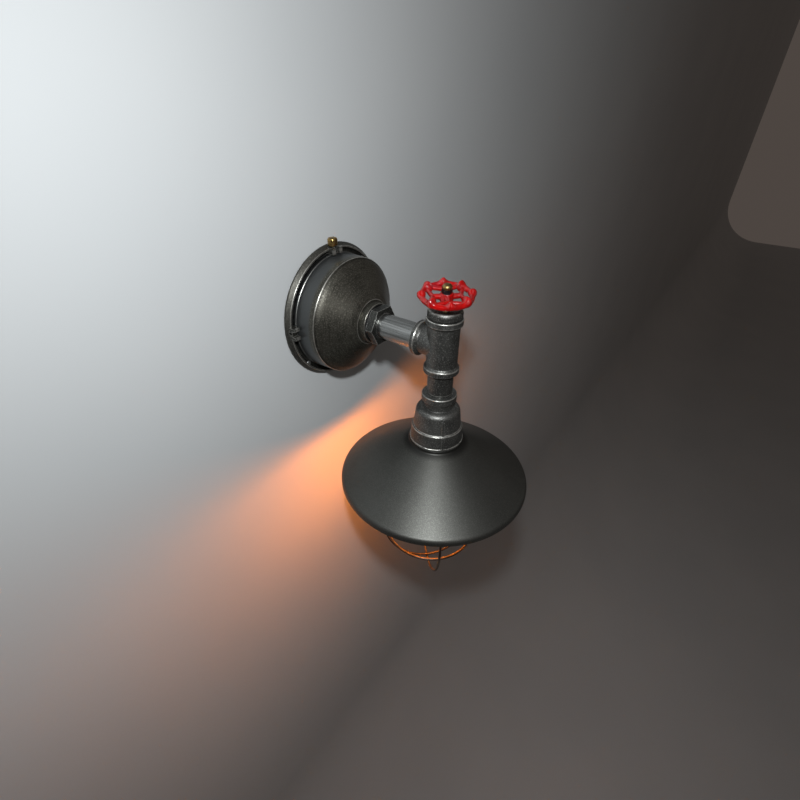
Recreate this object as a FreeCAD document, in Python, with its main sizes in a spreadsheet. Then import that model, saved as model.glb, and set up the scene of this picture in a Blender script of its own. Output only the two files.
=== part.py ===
import FreeCAD, Part
import Sketcher
import math
import os

from FreeCAD import Placement, Rotation, Vector

# Industrial wall sconce: a round cover on the wall, a pipe arm and tee, a valve handwheel on top
# of the tee, and a pendent reducer that carries a conical shade, a lamp and a wire cage.
# Millimetres. The origin is the centre of the face that lies on the wall: +Z is up, the wall is
# the plane y = 0 and the lamp stands out towards -Y.

doc = FreeCAD.newDocument("wall_sconce")
sheet = doc.addObject("Spreadsheet::Sheet", "Sizes")
next_row = 1


class Length:
    """A size in millimetres together with the sheet formula that gives it."""

    def __init__(self, value, formula):
        self.value = value
        self.formula = formula

    def joined(self, sign, other, value):
        return Length(value, "(%s %s %s)" % (self.formula, sign, length(other).formula))

    def __add__(self, other):
        return self.joined("+", other, self.value + length(other).value)

    def __sub__(self, other):
        return self.joined("-", other, self.value - length(other).value)

    def __mul__(self, other):
        return self.joined("*", other, self.value * length(other).value)

    def __truediv__(self, other):
        return self.joined("/", other, self.value / length(other).value)

    def __neg__(self):
        return Length(-self.value, "(-1 * %s)" % self.formula)

    def root(self):
        return Length(math.sqrt(self.value), "sqrt(%s)" % self.formula)


def length(number):
    """A Length as it is, or a plain factor as one."""
    if isinstance(number, Length):
        return number
    return Length(float(number), "(%.9f)" % number)


def size(name, value):
    """Writes one driving dimension into the sheet and returns it."""
    global next_row
    sheet.set("A%d" % next_row, name)
    sheet.set("B%d" % next_row, str(value))
    sheet.setAlias("B%d" % next_row, name)
    next_row += 1
    return Length(float(value), "Sizes." + name)


# Wall mounting
plate_radius = size("plate_radius", 71)
plate_thick = size("plate_thick", 2)
slot_spacing = size("slot_spacing", 88.9)
slot_width = size("slot_width", 5)
slot_length = size("slot_length", 12)
wire_hole_radius = size("wire_hole_radius", 14)
earth_screw_radius = size("earth_screw_radius", 2)
earth_screw_offset = size("earth_screw_offset", 26)

# Wall ring, its forked lugs and the screws in them
ring_radius = size("ring_radius", 74.5)
ring_depth = size("ring_depth", 6)
ring_rim_width = size("ring_rim_width", 3.4)
ring_base_height = size("ring_base_height", 1.6)
ring_knee_round = size("ring_knee_round", 1.2)
ring_wall = size("ring_wall", 1.4)
ring_flange_width = size("ring_flange_width", 13)
rivet_inset = size("rivet_inset", 6.5)
lug_width = size("lug_width", 13)
lug_end_radius = size("lug_end_radius", 65.5)
lug_top_radius = size("lug_top_radius", 72)
lug_height = size("lug_height", 11.5)
ear_height = size("ear_height", 4.5)
fork_gap = size("fork_gap", 6.4)
lug_screw_radius = size("lug_screw_radius", 2)
lug_screw_height = size("lug_screw_height", 8)
thumb_head_start = size("thumb_head_start", 73.7)
thumb_head_radius = size("thumb_head_radius", 5.2)
thumb_head_length = size("thumb_head_length", 7.6)
thumb_dome_radius = size("thumb_dome_radius", 2.4)
grub_length = size("grub_length", 5.5)
screw_clearance = size("screw_clearance", 0.05)
rivet_radius = size("rivet_radius", 1.6)
rivet_head_radius = size("rivet_head_radius", 2.8)
rivet_head_height = size("rivet_head_height", 1)
rivet_head_round = size("rivet_head_round", 0.8)

# Bell-shaped cover
cover_gap = size("cover_gap", 0.7)
cover_wall = size("cover_wall", 1.2)
cover_bead = size("cover_bead", 0.5)
cover_bead_length = size("cover_bead_length", 5)
cover_skirt_length = size("cover_skirt_length", 28.5)
cover_skirt_taper = size("cover_skirt_taper", 1.3)
cover_edge_radius = size("cover_edge_radius", 2.5)
cover_bell_length = size("cover_bell_length", 25.3)
cover_belly_radius = size("cover_belly_radius", 30)
cover_waist_radius = size("cover_waist_radius", 15)
belly_inset = size("belly_inset", 5.5)
belly_rise = size("belly_rise", 4.8)
waist_outset = size("waist_outset", 7)
waist_drop = size("waist_drop", 3.5)
hub_ledge_radius = size("hub_ledge_radius", 24.4)
hub_radius = size("hub_radius", 22)
hub_length = size("hub_length", 7)

# Pipe, nuts and fittings
pipe_radius = size("pipe_radius", 13.35)
pipe_bore_radius = size("pipe_bore_radius", 10.45)
thread_clearance = size("thread_clearance", 0.03)
thread_grip = size("thread_grip", 12)
thread_runout = size("thread_runout", 2)
pipe_end_inside_cover = size("pipe_end_inside_cover", 12)
washer_radius = size("washer_radius", 20.6)
washer_thick = size("washer_thick", 1)
front_nut_flats = size("front_nut_flats", 37.5)
front_nut_thick = size("front_nut_thick", 8.6)
back_nut_flats = size("back_nut_flats", 34)
back_nut_thick = size("back_nut_thick", 4)
nut_bevel = size("nut_bevel", 1)
small_nut_bevel = size("small_nut_bevel", 0.4)
arm_reach = size("arm_reach", 147)
tee_half_length = size("tee_half_length", 29)
tee_body_radius = size("tee_body_radius", 15.8)
tee_branch_radius = size("tee_branch_radius", 15)
tee_band_radius = size("tee_band_radius", 18.2)
tee_band_width = size("tee_band_width", 5.8)
branch_band_width = size("branch_band_width", 4.4)
tee_band_round = size("tee_band_round", 1)
tee_blend_radius = size("tee_blend_radius", 3)
drop_length = size("drop_length", 25.7)

# Plug and rotary switch in the top of the tee
plug_neck_radius = size("plug_neck_radius", 15.2)
plug_neck_length = size("plug_neck_length", 1.2)
plug_radius = size("plug_radius", 17.3)
plug_height = size("plug_height", 9)
plug_round = size("plug_round", 4)
plug_roof = size("plug_roof", 5)
switch_radius = size("switch_radius", 9.5)
switch_length = size("switch_length", 17)
switch_clearance = size("switch_clearance", 0.3)
bush_radius = size("bush_radius", 5)
bush_stand = size("bush_stand", 3)
bush_nut_flats = size("bush_nut_flats", 13)
bush_nut_thick = size("bush_nut_thick", 2.4)
spindle_radius = size("spindle_radius", 3)
spindle_clearance = size("spindle_clearance", 0.05)

# Handwheel
wheel_gap = size("wheel_gap", 4.9)
bend_height = size("bend_height", 2.4)
elbow_radius = size("elbow_radius", 3.4)
hub_height = size("hub_height", 8)
wheel_hub_radius = size("wheel_hub_radius", 6.4)
wheel_hub_round = size("wheel_hub_round", 1.8)
rim_radius = size("rim_radius", 23.4)
rim_section_radius = size("rim_section_radius", 2.75)
rim_rise = size("rim_rise", 1.0)
spoke_lobe_radius = size("spoke_lobe_radius", 3.1)
spoke_lobe_place = size("spoke_lobe_place", 23.6)
fork_lobe_radius = size("fork_lobe_radius", 4.8)
fork_lobe_place = size("fork_lobe_place", 21.6)
lobe_lift = size("lobe_lift", 1.2)
spoke_radius = size("spoke_radius", 2.4)
arm_radius = size("arm_radius", 2.05)
knuckle_radius = size("knuckle_radius", 2.7)
fork_radius = size("fork_radius", 13.2)
fork_end = size("fork_end", 16.8)
fork_spread = size("fork_spread", 13.4)
lock_nut_flats = size("lock_nut_flats", 9)
lock_nut_thick = size("lock_nut_thick", 4.4)
cap_nut_radius = size("cap_nut_radius", 4.7)
cap_nut_height = size("cap_nut_height", 4.3)
cap_dome_radius = size("cap_dome_radius", 3)

# Reducer that hangs below the tee
reducer_band_radius = size("reducer_band_radius", 18.6)
reducer_band_width = size("reducer_band_width", 7.3)
reducer_neck_radius = size("reducer_neck_radius", 16)
reducer_neck_length = size("reducer_neck_length", 8.7)
bell_top_radius = size("bell_top_radius", 23.2)
bell_radius = size("bell_radius", 26)
bell_round = size("bell_round", 6.4)
bell_roof = size("bell_roof", 7.4)
bell_length = size("bell_length", 22.85)
bell_wall = size("bell_wall", 3.2)
skirt_top_radius = size("skirt_top_radius", 27.6)
skirt_radius = size("skirt_radius", 28.7)
skirt_length = size("skirt_length", 17)
skirt_flare = size("skirt_flare", 1.2)
skirt_bead_radius = size("skirt_bead_radius", 29.4)
skirt_bead_width = size("skirt_bead_width", 2.2)
skirt_round = size("skirt_round", 0.5)
skirt_bore_radius = size("skirt_bore_radius", 24.15)
mould_rib_width = size("mould_rib_width", 2.5)
mould_rib_height = size("mould_rib_height", 0.9)
mould_rib_sink = size("mould_rib_sink", 1.6)
mould_rib_gap = size("mould_rib_gap", 6.3)
skirt_rib_margin = size("skirt_rib_margin", 1.3)

# Lampholder and lamp
bushing_length = size("bushing_length", 13)
holder_neck_radius = size("holder_neck_radius", 17)
holder_head_radius = size("holder_head_radius", 19.5)
holder_head_length = size("holder_head_length", 18)
holder_neck_length = size("holder_neck_length", 29)
holder_wall = size("holder_wall", 3)
holder_clearance = size("holder_clearance", 0.1)
shell_wall = size("shell_wall", 0.5)
contact_thick = size("contact_thick", 2.5)
contact_tab_height = size("contact_tab_height", 1)
wire_entry_radius = size("wire_entry_radius", 6.5)
lamp_cap_radius = size("lamp_cap_radius", 13.15)
lamp_cap_length = size("lamp_cap_length", 25)
lamp_radius = size("lamp_radius", 30)
lamp_length = size("lamp_length", 107.5)
lamp_glass_wall = size("lamp_glass_wall", 0.8)
cap_chamfer = size("cap_chamfer", 5)
cap_roof = size("cap_roof", 1.5)
lamp_throat_length = size("lamp_throat_length", 10.5)
lamp_throat_swell = size("lamp_throat_swell", 3.95)
lamp_globe_height = size("lamp_globe_height", 48.6)
lamp_stem_radius = size("lamp_stem_radius", 4)
lamp_stem_length = size("lamp_stem_length", 38)
filament_radius = size("filament_radius", 0.6)
filament_ring_radius = size("filament_ring_radius", 11)

# Shade
shade_wall = size("shade_wall", 1)
shade_neck_radius = size("shade_neck_radius", 30.2)
shade_neck_length = size("shade_neck_length", 2.5)
shade_shoulder = size("shade_shoulder", 0.8)
shade_rim_radius = size("shade_rim_radius", 107.7)
shade_cone_drop = size("shade_cone_drop", 48.4)
shade_edge_length = size("shade_edge_length", 5.6)
shade_rim_round = size("shade_rim_round", 6)
shade_neck_round = size("shade_neck_round", 2.8)

# Wire cage
collar_radius = size("collar_radius", 28)
collar_thick = size("collar_thick", 1.5)
ring_nut_radius = size("ring_nut_radius", 21.5)
ring_nut_thick = size("ring_nut_thick", 7)
wire_radius = size("wire_radius", 1.5)
cage_start_radius = size("cage_start_radius", 23)
cage_shoulder_radius = size("cage_shoulder_radius", 27)
cage_radius = size("cage_radius", 57.5)
cage_slope_drop = size("cage_slope_drop", 38)
cage_bend_radius = size("cage_bend_radius", 12)
cage_leg_bottom = size("cage_leg_bottom", 246)
cage_curve_depth = size("cage_curve_depth", 72)
cage_tip_radius = size("cage_tip_radius", 47)
cage_ring_drop = size("cage_ring_drop", 11)
weld_bite = size("weld_bite", 0.05)

# Wiring inside the cover and the pipes
cable_radius = size("cable_radius", 1.1)
block_width = size("block_width", 28)
block_height = size("block_height", 16)
block_depth = size("block_depth", 12)
block_drop = size("block_drop", 38)
cable_spread = size("cable_spread", 4)

doc.recompute()

nodes = {}


def keep(node, item):
    """Names a finished sub-part after its node and remembers it for the files."""
    item.Label = node
    nodes[node] = item
    return item


def bind(item, path, amount):
    """Ties one property of an object to the sheet."""
    item.setExpression(path, length(amount).formula)


def place(item, x=0, y=0, z=0, rotation=None):
    """Turns an object and ties its position to the sheet."""
    item.Placement = Placement(Vector(0, 0, 0), rotation or Rotation())
    for path, amount in (("x", x), ("y", y), ("z", z)):
        if isinstance(amount, Length):
            bind(item, "Placement.Base." + path, amount)
    return item


def origin_plane(body, role):
    """One of a body's own origin planes, found by its role."""
    for feature in body.Origin.OriginFeatures:
        if feature.Role == role:
            return feature


def new_sketch(body, role, name):
    """An empty sketch on one of the body's own origin planes."""
    sketch = body.newObject("Sketcher::SketchObject", name)
    sketch.AttachmentSupport = [(origin_plane(body, role), "")]
    sketch.MapMode = "FlatFace"
    return sketch


def value_of(amount):
    return length(amount).value


def fix_point(sketch, geometry, position, x, y):
    """Ties a sketch point to its two coordinates."""
    for axis, kind, amount in ((-2, "DistanceX", x), (-1, "DistanceY", y)):
        if isinstance(amount, Length):
            rule = Sketcher.Constraint(kind, -1, 1, geometry, position, amount.value)
            index = sketch.addConstraint(rule)
            sketch.setExpression("Constraints[%d]" % index, amount.formula)
        else:
            sketch.addConstraint(Sketcher.Constraint("PointOnObject", geometry, position, axis))


def rounded_corner(before, corner, after, radius):
    """Where the tangent arc of a rounded corner starts and ends, its centre and its turn."""
    into = (corner - before).normalize()
    out = (after - corner).normalize()
    turn = into.x * out.y - into.y * out.x
    half = math.atan2(abs(turn), into.dot(out)) / 2
    trim = radius * math.tan(half)
    start = corner - into * trim
    side = 1 if turn > 0 else -1
    centre = start + Vector(-into.y, into.x, 0) * (radius * side)
    return start, corner + out * trim, centre, side


def draw_chain(sketch, corners, closed):
    """Straight edges through the corners, with a tangent arc where a corner has a radius."""
    count = len(corners)
    points = [Vector(value_of(c[0]), value_of(c[1]), 0) for c in corners]
    arcs = {}
    for i, corner in enumerate(corners):
        if len(corner) == 3:
            before = points[(i - 1) % count]
            after = points[(i + 1) % count]
            arcs[i] = rounded_corner(before, points[i], after, corner[2].value)
    lines = {}
    for i in range(count if closed else count - 1):
        k = (i + 1) % count
        start = arcs[i][1] if i in arcs else points[i]
        end = arcs[k][0] if k in arcs else points[k]
        lines[i] = sketch.addGeometry(Part.LineSegment(start, end), False)
    for i, corner in enumerate(corners):
        into = lines.get((i - 1) % count) if closed or i > 0 else None
        out = lines.get(i)
        if i not in arcs:
            if into is not None and out is not None:
                sketch.addConstraint(Sketcher.Constraint("Coincident", into, 2, out, 1))
            holder, position = (out, 1) if out is not None else (into, 2)
            fix_point(sketch, holder, position, corner[0], corner[1])
            continue
        start, end, centre, side = arcs[i]
        circle = Part.Circle(centre, Vector(0, 0, 1), corner[2].value)
        angles = [math.atan2(p.y - centre.y, p.x - centre.x) for p in (start, end)]
        first, last = angles if side > 0 else reversed(angles)
        arc = sketch.addGeometry(Part.ArcOfCircle(circle, first, last), False)
        at_start, at_end = (1, 2) if side > 0 else (2, 1)
        sketch.addConstraint(Sketcher.Constraint("Tangent", into, 2, arc, at_start))
        sketch.addConstraint(Sketcher.Constraint("Tangent", arc, at_end, out, 1))
        rule = sketch.addConstraint(Sketcher.Constraint("Radius", arc, corner[2].value))
        sketch.setExpression("Constraints[%d]" % rule, corner[2].formula)
        mark = sketch.addGeometry(Part.Point(points[i]), True)
        sketch.addConstraint(Sketcher.Constraint("PointOnObject", mark, 1, into))
        sketch.addConstraint(Sketcher.Constraint("PointOnObject", mark, 1, out))
        fix_point(sketch, mark, 1, corner[0], corner[1])


def turned(name, corners):
    """A solid turned about the vertical axis from corners given as radius and height."""
    body = doc.addObject("PartDesign::Body", name)
    sketch = new_sketch(body, "XZ_Plane", name + "_profile")
    draw_chain(sketch, corners, True)
    revolution = body.newObject("PartDesign::Revolution", name + "_turning")
    revolution.Profile = sketch
    revolution.ReferenceAxis = (sketch, ["V_Axis"])
    revolution.Angle = 360
    body.Tip = revolution
    return body


def tube(name, inner, outer, low, high):
    """A plain turned ring between two radii and two heights."""
    return turned(name, [(inner, low), (outer, low), (outer, high), (inner, high)])


def rod(name, radius, low, high):
    """A cylinder on the vertical axis between two heights."""
    item = doc.addObject("Part::Cylinder", name)
    bind(item, "Radius", radius)
    bind(item, "Height", high - low)
    return place(item, z=low)


def block(name, width, depth, height):
    """A box centred on the vertical axis that stands on its local floor."""
    item = doc.addObject("Part::Box", name)
    bind(item, "Length", width)
    bind(item, "Width", depth)
    bind(item, "Height", height)
    return place(item, x=-(width / 2), y=-(depth / 2))


def joined(name, kind, items):
    """A boolean of several objects: MultiFuse or MultiCommon."""
    item = doc.addObject("Part::" + kind, name)
    item.Shapes = items
    return item


def cut(name, base, tool):
    item = doc.addObject("Part::Cut", name)
    item.Base = base
    item.Tool = tool
    return item


def hex_nut(name, flats, bore, low, thick, bevel):
    """A hexagon nut with its corners turned off at both ends."""
    corner_radius = flats / math.sqrt(3)
    prism = doc.addObject("Part::Prism", name + "_hexagon")
    prism.Polygon = 6
    bind(prism, "Circumradius", corner_radius)
    bind(prism, "Height", thick)
    place(prism, z=low)
    lens = turned(name + "_bevel", [
        (bore, low), (corner_radius - bevel, low), (corner_radius + bevel, low + bevel),
        (corner_radius + bevel, low + thick - bevel), (corner_radius - bevel, low + thick),
        (bore, low + thick)])
    return joined(name, "MultiCommon", [prism, lens])


# The wall's outward axis: a turned piece's height becomes its distance from the wall.
OUTWARD = Rotation(Vector(1, 0, 0), 90)
INWARD = Rotation(Vector(1, 0, 0), -90)

# Mounting plate: a round steel plate with two slots for the wall box and a hole for the wires.
plate_disc = tube("plate_disc", wire_hole_radius, plate_radius, 0, plate_thick)
slots = []
slot_run = slot_length - slot_width
for side in (-1, 1):
    middle = block("slot_middle_%d" % side, slot_run, slot_width, plate_thick)
    place(middle, x=slot_spacing * (side / 2) - slot_run / 2, y=-(slot_width / 2))
    slots.append(middle)
    for end in (-1, 1):
        cap = rod("slot_end_%d_%d" % (side, end), slot_width / 2, 0, plate_thick)
        place(cap, x=slot_spacing * (side / 2) + slot_run * (end / 2))
        slots.append(cap)
earth_hole = rod("earth_hole", earth_screw_radius, 0, plate_thick)
place(earth_hole, x=earth_screw_offset, y=earth_screw_offset)
rivet_circle = ring_radius - rivet_inset
rivet_places = []
for turn in range(4):
    angle = math.radians(45 + 90 * turn)
    rivet_places.append((rivet_circle * math.cos(angle), rivet_circle * math.sin(angle)))
rivet_holes = []
for number, (x, y) in enumerate(rivet_places):
    hole = rod("plate_rivet_hole_%d" % number, rivet_radius, 0, plate_thick)
    rivet_holes.append(place(hole, x=x, y=y))
plate = cut("plate", plate_disc, joined("plate_holes", "MultiFuse", slots + [earth_hole] + rivet_holes))
keep("mounting_plate", place(plate, rotation=OUTWARD))

# Wall ring: a pressed dish with a flat back flange, a sloping edge and four forked lugs.
LUG_TURN = 2.1
ring_back = plate_thick
ring_front = plate_thick + ring_depth
flange_face = ring_back + ring_wall
front_radius = ring_radius - ring_rim_width
flange_radius = ring_radius - ring_flange_width
ring_skirt = turned("ring_skirt", [
    (flange_radius, ring_back), (ring_radius, ring_back),
    (ring_radius, ring_back + ring_base_height, ring_knee_round), (front_radius, ring_front),
    (front_radius - ring_wall, ring_front), (ring_radius - ring_wall * 2, flange_face),
    (flange_radius, flange_face)])


def on_lug_line(item, number, radius, aside, height, tilt=0):
    """Places an item at a radius on one of the four lug lines and turns it to point outwards."""
    angle = math.radians(LUG_TURN + 90 * number)
    place(item, x=radius * math.cos(angle) + aside * math.sin(angle),
          y=radius * math.sin(angle) - aside * math.cos(angle), z=height)
    spin = Rotation(Vector(0, 0, 1), math.degrees(angle)) * Rotation(Vector(0, 1, 0), tilt)
    item.Placement = Placement(item.Placement.Base, spin)
    return item


no_shift = length(0)
lug_length = lug_top_radius - lug_end_radius
lug_face = flange_face + lug_height
lug_parts = []
fork_parts = []
for number in range(4):
    lug = block("lug_%d" % number, lug_length, lug_width, lug_height)
    lug_parts.append(on_lug_line(lug, number, lug_end_radius, lug_width / 2, flange_face))
    gap = block("fork_gap_%d" % number, lug_length, fork_gap, ear_height)
    fork_parts.append(on_lug_line(gap, number, lug_end_radius, fork_gap / 2, lug_face - ear_height))
    hole = rod("lug_hole_%d" % number, lug_screw_radius + screw_clearance, lug_end_radius, ring_radius)
    fork_parts.append(on_lug_line(hole, number, lug_end_radius, no_shift, lug_screw_height, 90))
head_seat = thumb_head_start - screw_clearance
head_room = rod("head_room", thumb_head_radius + screw_clearance * 4, head_seat, ring_radius + ring_wall)
fork_parts.append(on_lug_line(head_room, 1, head_seat, no_shift, lug_screw_height, 90))
for number, (x, y) in enumerate(rivet_places):
    hole = rod("ring_rivet_hole_%d" % number, rivet_radius, ring_back, flange_face)
    fork_parts.append(place(hole, x=x, y=y, z=ring_back))
ring_solid = joined("ring_solid", "MultiFuse", [ring_skirt] + lug_parts)
ring = cut("ring", ring_solid, joined("ring_gaps", "MultiFuse", fork_parts))
keep("wall_ring", place(ring, rotation=OUTWARD))

# Rivets: four domed rivets through the plate and the ring's back flange.
rivets = []
for number, (x, y) in enumerate(rivet_places):
    rivet = turned("rivet_%d" % number, [
        (0, 0), (rivet_radius, 0), (rivet_radius, flange_face), (rivet_head_radius, flange_face),
        (rivet_head_radius, flange_face + rivet_head_height, rivet_head_round),
        (0, flange_face + rivet_head_height)])
    rivets.append(place(rivet, x=x, y=y))
keep("ring_rivets", place(joined("rivets", "MultiFuse", rivets), rotation=OUTWARD))

# Lug screws: a brass thumb screw with a domed head on top, and three short grub screws.
cover_radius = lug_end_radius - cover_gap
screw_tip = cover_radius + screw_clearance
thumb_top = thumb_head_start + thumb_head_length
thumb_screw = turned("thumb", [
    (0, screw_tip), (lug_screw_radius, screw_tip), (lug_screw_radius, thumb_head_start),
    (thumb_head_radius, thumb_head_start), (thumb_head_radius, thumb_top, thumb_dome_radius),
    (0, thumb_top)])
keep("thumb_screw", place(thumb_screw, y=-lug_screw_height, rotation=Rotation(Vector(0, 1, 0), -LUG_TURN)))
grubs = []
for number in (0, 2, 3):
    grub = rod("grub_%d" % number, lug_screw_radius, screw_tip, screw_tip + grub_length)
    grubs.append(on_lug_line(grub, number, screw_tip, no_shift, lug_screw_height, 90))
keep("grub_screws", place(joined("grubs", "MultiFuse", grubs), rotation=OUTWARD))

# Cover: a spun bell, open at the back, with a beaded edge and a stepped hub for the pipe.
cover_back = flange_face
bead_end = cover_back + cover_bead_length
skirt_end = cover_back + cover_skirt_length
edge_radius = cover_radius - cover_skirt_taper
bell_end = skirt_end + cover_bell_length
hub_face = bell_end + hub_length
belly_out = edge_radius - belly_inset
belly_height = skirt_end + belly_rise
waist_out = hub_ledge_radius + waist_outset
waist_height = bell_end - waist_drop
hub_hole = pipe_radius + thread_clearance
cover = turned("bell", [
    (cover_radius, cover_back), (cover_radius, bead_end), (cover_radius - cover_bead, bead_end + cover_bead),
    (edge_radius, skirt_end, cover_edge_radius), (belly_out, belly_height, cover_belly_radius),
    (waist_out, waist_height, cover_waist_radius), (hub_ledge_radius, bell_end), (hub_radius, bell_end),
    (hub_radius, hub_face, cover_wall), (hub_hole, hub_face), (hub_hole, hub_face - cover_wall),
    (hub_radius - cover_wall, hub_face - cover_wall), (hub_radius - cover_wall, bell_end - cover_wall),
    (hub_ledge_radius - cover_wall, bell_end - cover_wall),
    (waist_out - cover_wall / 2, waist_height - cover_wall, cover_waist_radius),
    (belly_out - cover_wall / 2, belly_height - cover_wall, cover_belly_radius),
    (edge_radius - cover_wall, skirt_end - cover_wall, cover_edge_radius / 2),
    (cover_radius - cover_wall * 1.5, cover_back)])
keep("cover", place(cover, rotation=OUTWARD))

# Arm: a washer and a lock nut outside the hub, a lock nut inside it, and the horizontal nipple.
washer_end = hub_face + washer_thick
keep("hub_washer", place(tube("washer", hub_hole, washer_radius, hub_face, washer_end), rotation=OUTWARD))
front_nut = hex_nut("outer_nut", front_nut_flats, hub_hole, washer_end, front_nut_thick, nut_bevel)
keep("lock_nut_front", place(front_nut, rotation=OUTWARD))
back_nut_face = hub_face - cover_wall
back_nut_start = back_nut_face - back_nut_thick
back_nut = hex_nut("inner_nut", back_nut_flats, hub_hole, back_nut_start, back_nut_thick, nut_bevel)
keep("lock_nut_back", place(back_nut, rotation=OUTWARD))
branch_face = arm_reach - tee_half_length
arm_start = hub_face - pipe_end_inside_cover
arm = tube("arm", pipe_bore_radius, pipe_radius, arm_start, branch_face + thread_grip)
keep("arm_nipple", place(arm, rotation=OUTWARD))

# Tee: a cast fitting with a rolled band at each mouth and smooth blends between run and branch.
band_start = tee_half_length - tee_band_width


def mouth_profile(body_radius, low, high, sign):
    """The outer line of one mouth, from the body to the face of its band."""
    swell = tee_band_radius - body_radius
    return [(body_radius, low - swell * sign, swell / 2), (tee_band_radius, low, tee_band_round),
            (tee_band_radius, high, tee_band_round)]


run_top = mouth_profile(tee_body_radius, band_start, tee_half_length, 1)
run_bottom = mouth_profile(tee_body_radius, -band_start, -tee_half_length, -1)
branch_start = tee_half_length - branch_band_width
branch_mouth = mouth_profile(tee_branch_radius, branch_start, tee_half_length, 1)
run = turned("tee_run", [(0, -tee_half_length)] + run_bottom[::-1] + run_top + [(0, tee_half_length)])
branch = turned("tee_branch", [(0, 0), (tee_branch_radius, 0)] + branch_mouth + [(0, tee_half_length)])
branch.Placement = Placement(Vector(0, 0, 0), INWARD)
tee_cast = joined("tee_cast", "MultiFuse", [run, branch])
doc.recompute()


def seam_edges(shape):
    """The edges where the branch meets the run."""
    found = []
    for index, edge in enumerate(shape.Edges, 1):
        middle = edge.valueAt((edge.FirstParameter + edge.LastParameter) / 2)
        off_run = abs(math.hypot(middle.x, middle.y) - tee_body_radius.value) < 0.01
        off_branch = abs(math.hypot(middle.x, middle.z) - tee_branch_radius.value) < 0.01
        if off_run and off_branch:
            found.append((index, tee_blend_radius.value, tee_blend_radius.value))
    return found


tee_blend = doc.addObject("Part::Fillet", "tee_blend")
tee_blend.Base = tee_cast
tee_blend.Edges = seam_edges(tee_cast.Shape)
bore_radius = pipe_radius + thread_clearance
plug_end = tee_half_length - thread_grip - thread_runout
run_bore = turned("tee_run_bore", [
    (0, -tee_half_length), (bore_radius, -tee_half_length), (bore_radius, thread_grip - tee_half_length),
    (pipe_bore_radius, thread_grip - tee_half_length), (pipe_bore_radius, plug_end),
    (bore_radius, plug_end), (bore_radius, tee_half_length), (0, tee_half_length)])
branch_bore = turned("tee_branch_bore", [
    (0, 0), (pipe_bore_radius, 0), (pipe_bore_radius, tee_half_length - thread_grip),
    (bore_radius, tee_half_length - thread_grip), (bore_radius, tee_half_length), (0, tee_half_length)])
branch_bore.Placement = Placement(Vector(0, 0, 0), INWARD)
tee = cut("tee_fitting", tee_blend, joined("tee_bores", "MultiFuse", [run_bore, branch_bore]))
keep("tee", place(tee, y=-arm_reach))

# Plug: a round-shouldered cap that screws into the top of the tee and houses the switch.
plug_base = tee_half_length
plug_shoulder = plug_base + plug_neck_length
plug_top = plug_base + plug_height
cavity_radius = switch_radius + switch_clearance
cavity_top = plug_top - plug_roof
bush_hole = bush_radius + thread_clearance
plug = turned("plug", [
    (cavity_radius, plug_end), (pipe_radius, plug_end), (pipe_radius, plug_base),
    (plug_neck_radius, plug_base), (plug_neck_radius, plug_shoulder),
    (plug_radius, plug_shoulder, plug_neck_length / 2), (plug_radius, plug_top, plug_round),
    (bush_hole, plug_top), (bush_hole, cavity_top), (cavity_radius, cavity_top)])
keep("top_plug", place(plug, y=-arm_reach))

# Rotary switch: its body fills the plug, its threaded bush comes out through the roof with a nut.
switch_top = cavity_top - switch_clearance
switch_base = switch_top - switch_length
spindle_hole = spindle_radius + spindle_clearance
spindle_base = switch_base + switch_length / 3
switch = turned("switch", [
    (0, switch_base), (switch_radius, switch_base), (switch_radius, switch_top, switch_clearance),
    (spindle_hole, switch_top), (spindle_hole, spindle_base), (0, spindle_base)])
keep("switch_body", place(switch, y=-arm_reach))
bush_top = plug_top + bush_stand
bush = tube("bush", spindle_hole, bush_radius, switch_top, bush_top)
keep("switch_bush", place(bush, y=-arm_reach))
bush_nut = hex_nut("bush_nut", bush_nut_flats, bush_hole, plug_top, bush_nut_thick, small_nut_bevel)
keep("switch_nut", place(bush_nut, y=-arm_reach))

# Handwheel group: the spindle's end is bent towards the front left, and the cast wheel, the dark
# lock nut and the brass cap nut lean with it. All of them turn together.
SPOKES = 4
WHEEL_PHASE = 220.3
LEAN = math.radians(8)
LEAN_HEADING = math.radians(209.9)
bent_way = Vector(math.sin(LEAN) * math.cos(LEAN_HEADING), math.sin(LEAN) * math.sin(LEAN_HEADING),
                  math.cos(LEAN))
bend = bush_top + bend_height
hub_base = bush_top + wheel_gap
hub_top = hub_base + hub_height
lock_top = hub_top + lock_nut_thick


def on_bent_end(item, out=0, heading=0):
    """Places a piece on the spindle's bent end, at a distance out from the wall."""
    lean = Rotation(Vector(0, 0, 1), bent_way)
    return place(item, x=bend * -bent_way.x, y=bend * -bent_way.y - out, z=bend * (1 - bent_way.z),
                 rotation=lean * Rotation(Vector(0, 0, 1), heading))


spindle_foot = rod("spindle_foot", spindle_radius, spindle_base, bend)
spindle_end = turned("spindle_end", [
    (0, bend), (spindle_radius, bend), (spindle_radius, lock_top), (0, lock_top)])
elbow = doc.addObject("Part::Sphere", "elbow")
bind(elbow, "Radius", elbow_radius)
spindle_parts = [spindle_foot, place(elbow, z=bend), on_bent_end(spindle_end)]
spindle = joined("spindle", "MultiFuse", spindle_parts)
keep("switch_spindle", place(spindle, y=-arm_reach))
wheel_nut = hex_nut("dark_nut", lock_nut_flats, spindle_radius, hub_top, lock_nut_thick, small_nut_bevel)
keep("wheel_lock_nut", on_bent_end(wheel_nut, arm_reach))
cap_nut_top = lock_top + cap_nut_height
cap_nut = turned("cap_nut", [
    (0, lock_top), (cap_nut_radius, lock_top), (cap_nut_radius, cap_nut_top, cap_dome_radius),
    (0, cap_nut_top)])
keep("wheel_cap_nut", on_bent_end(cap_nut, arm_reach))

# Handwheel: a cast ring with eight domed lobes and four spokes, each forked into two arms that run
# to the lobes beside it.


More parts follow.
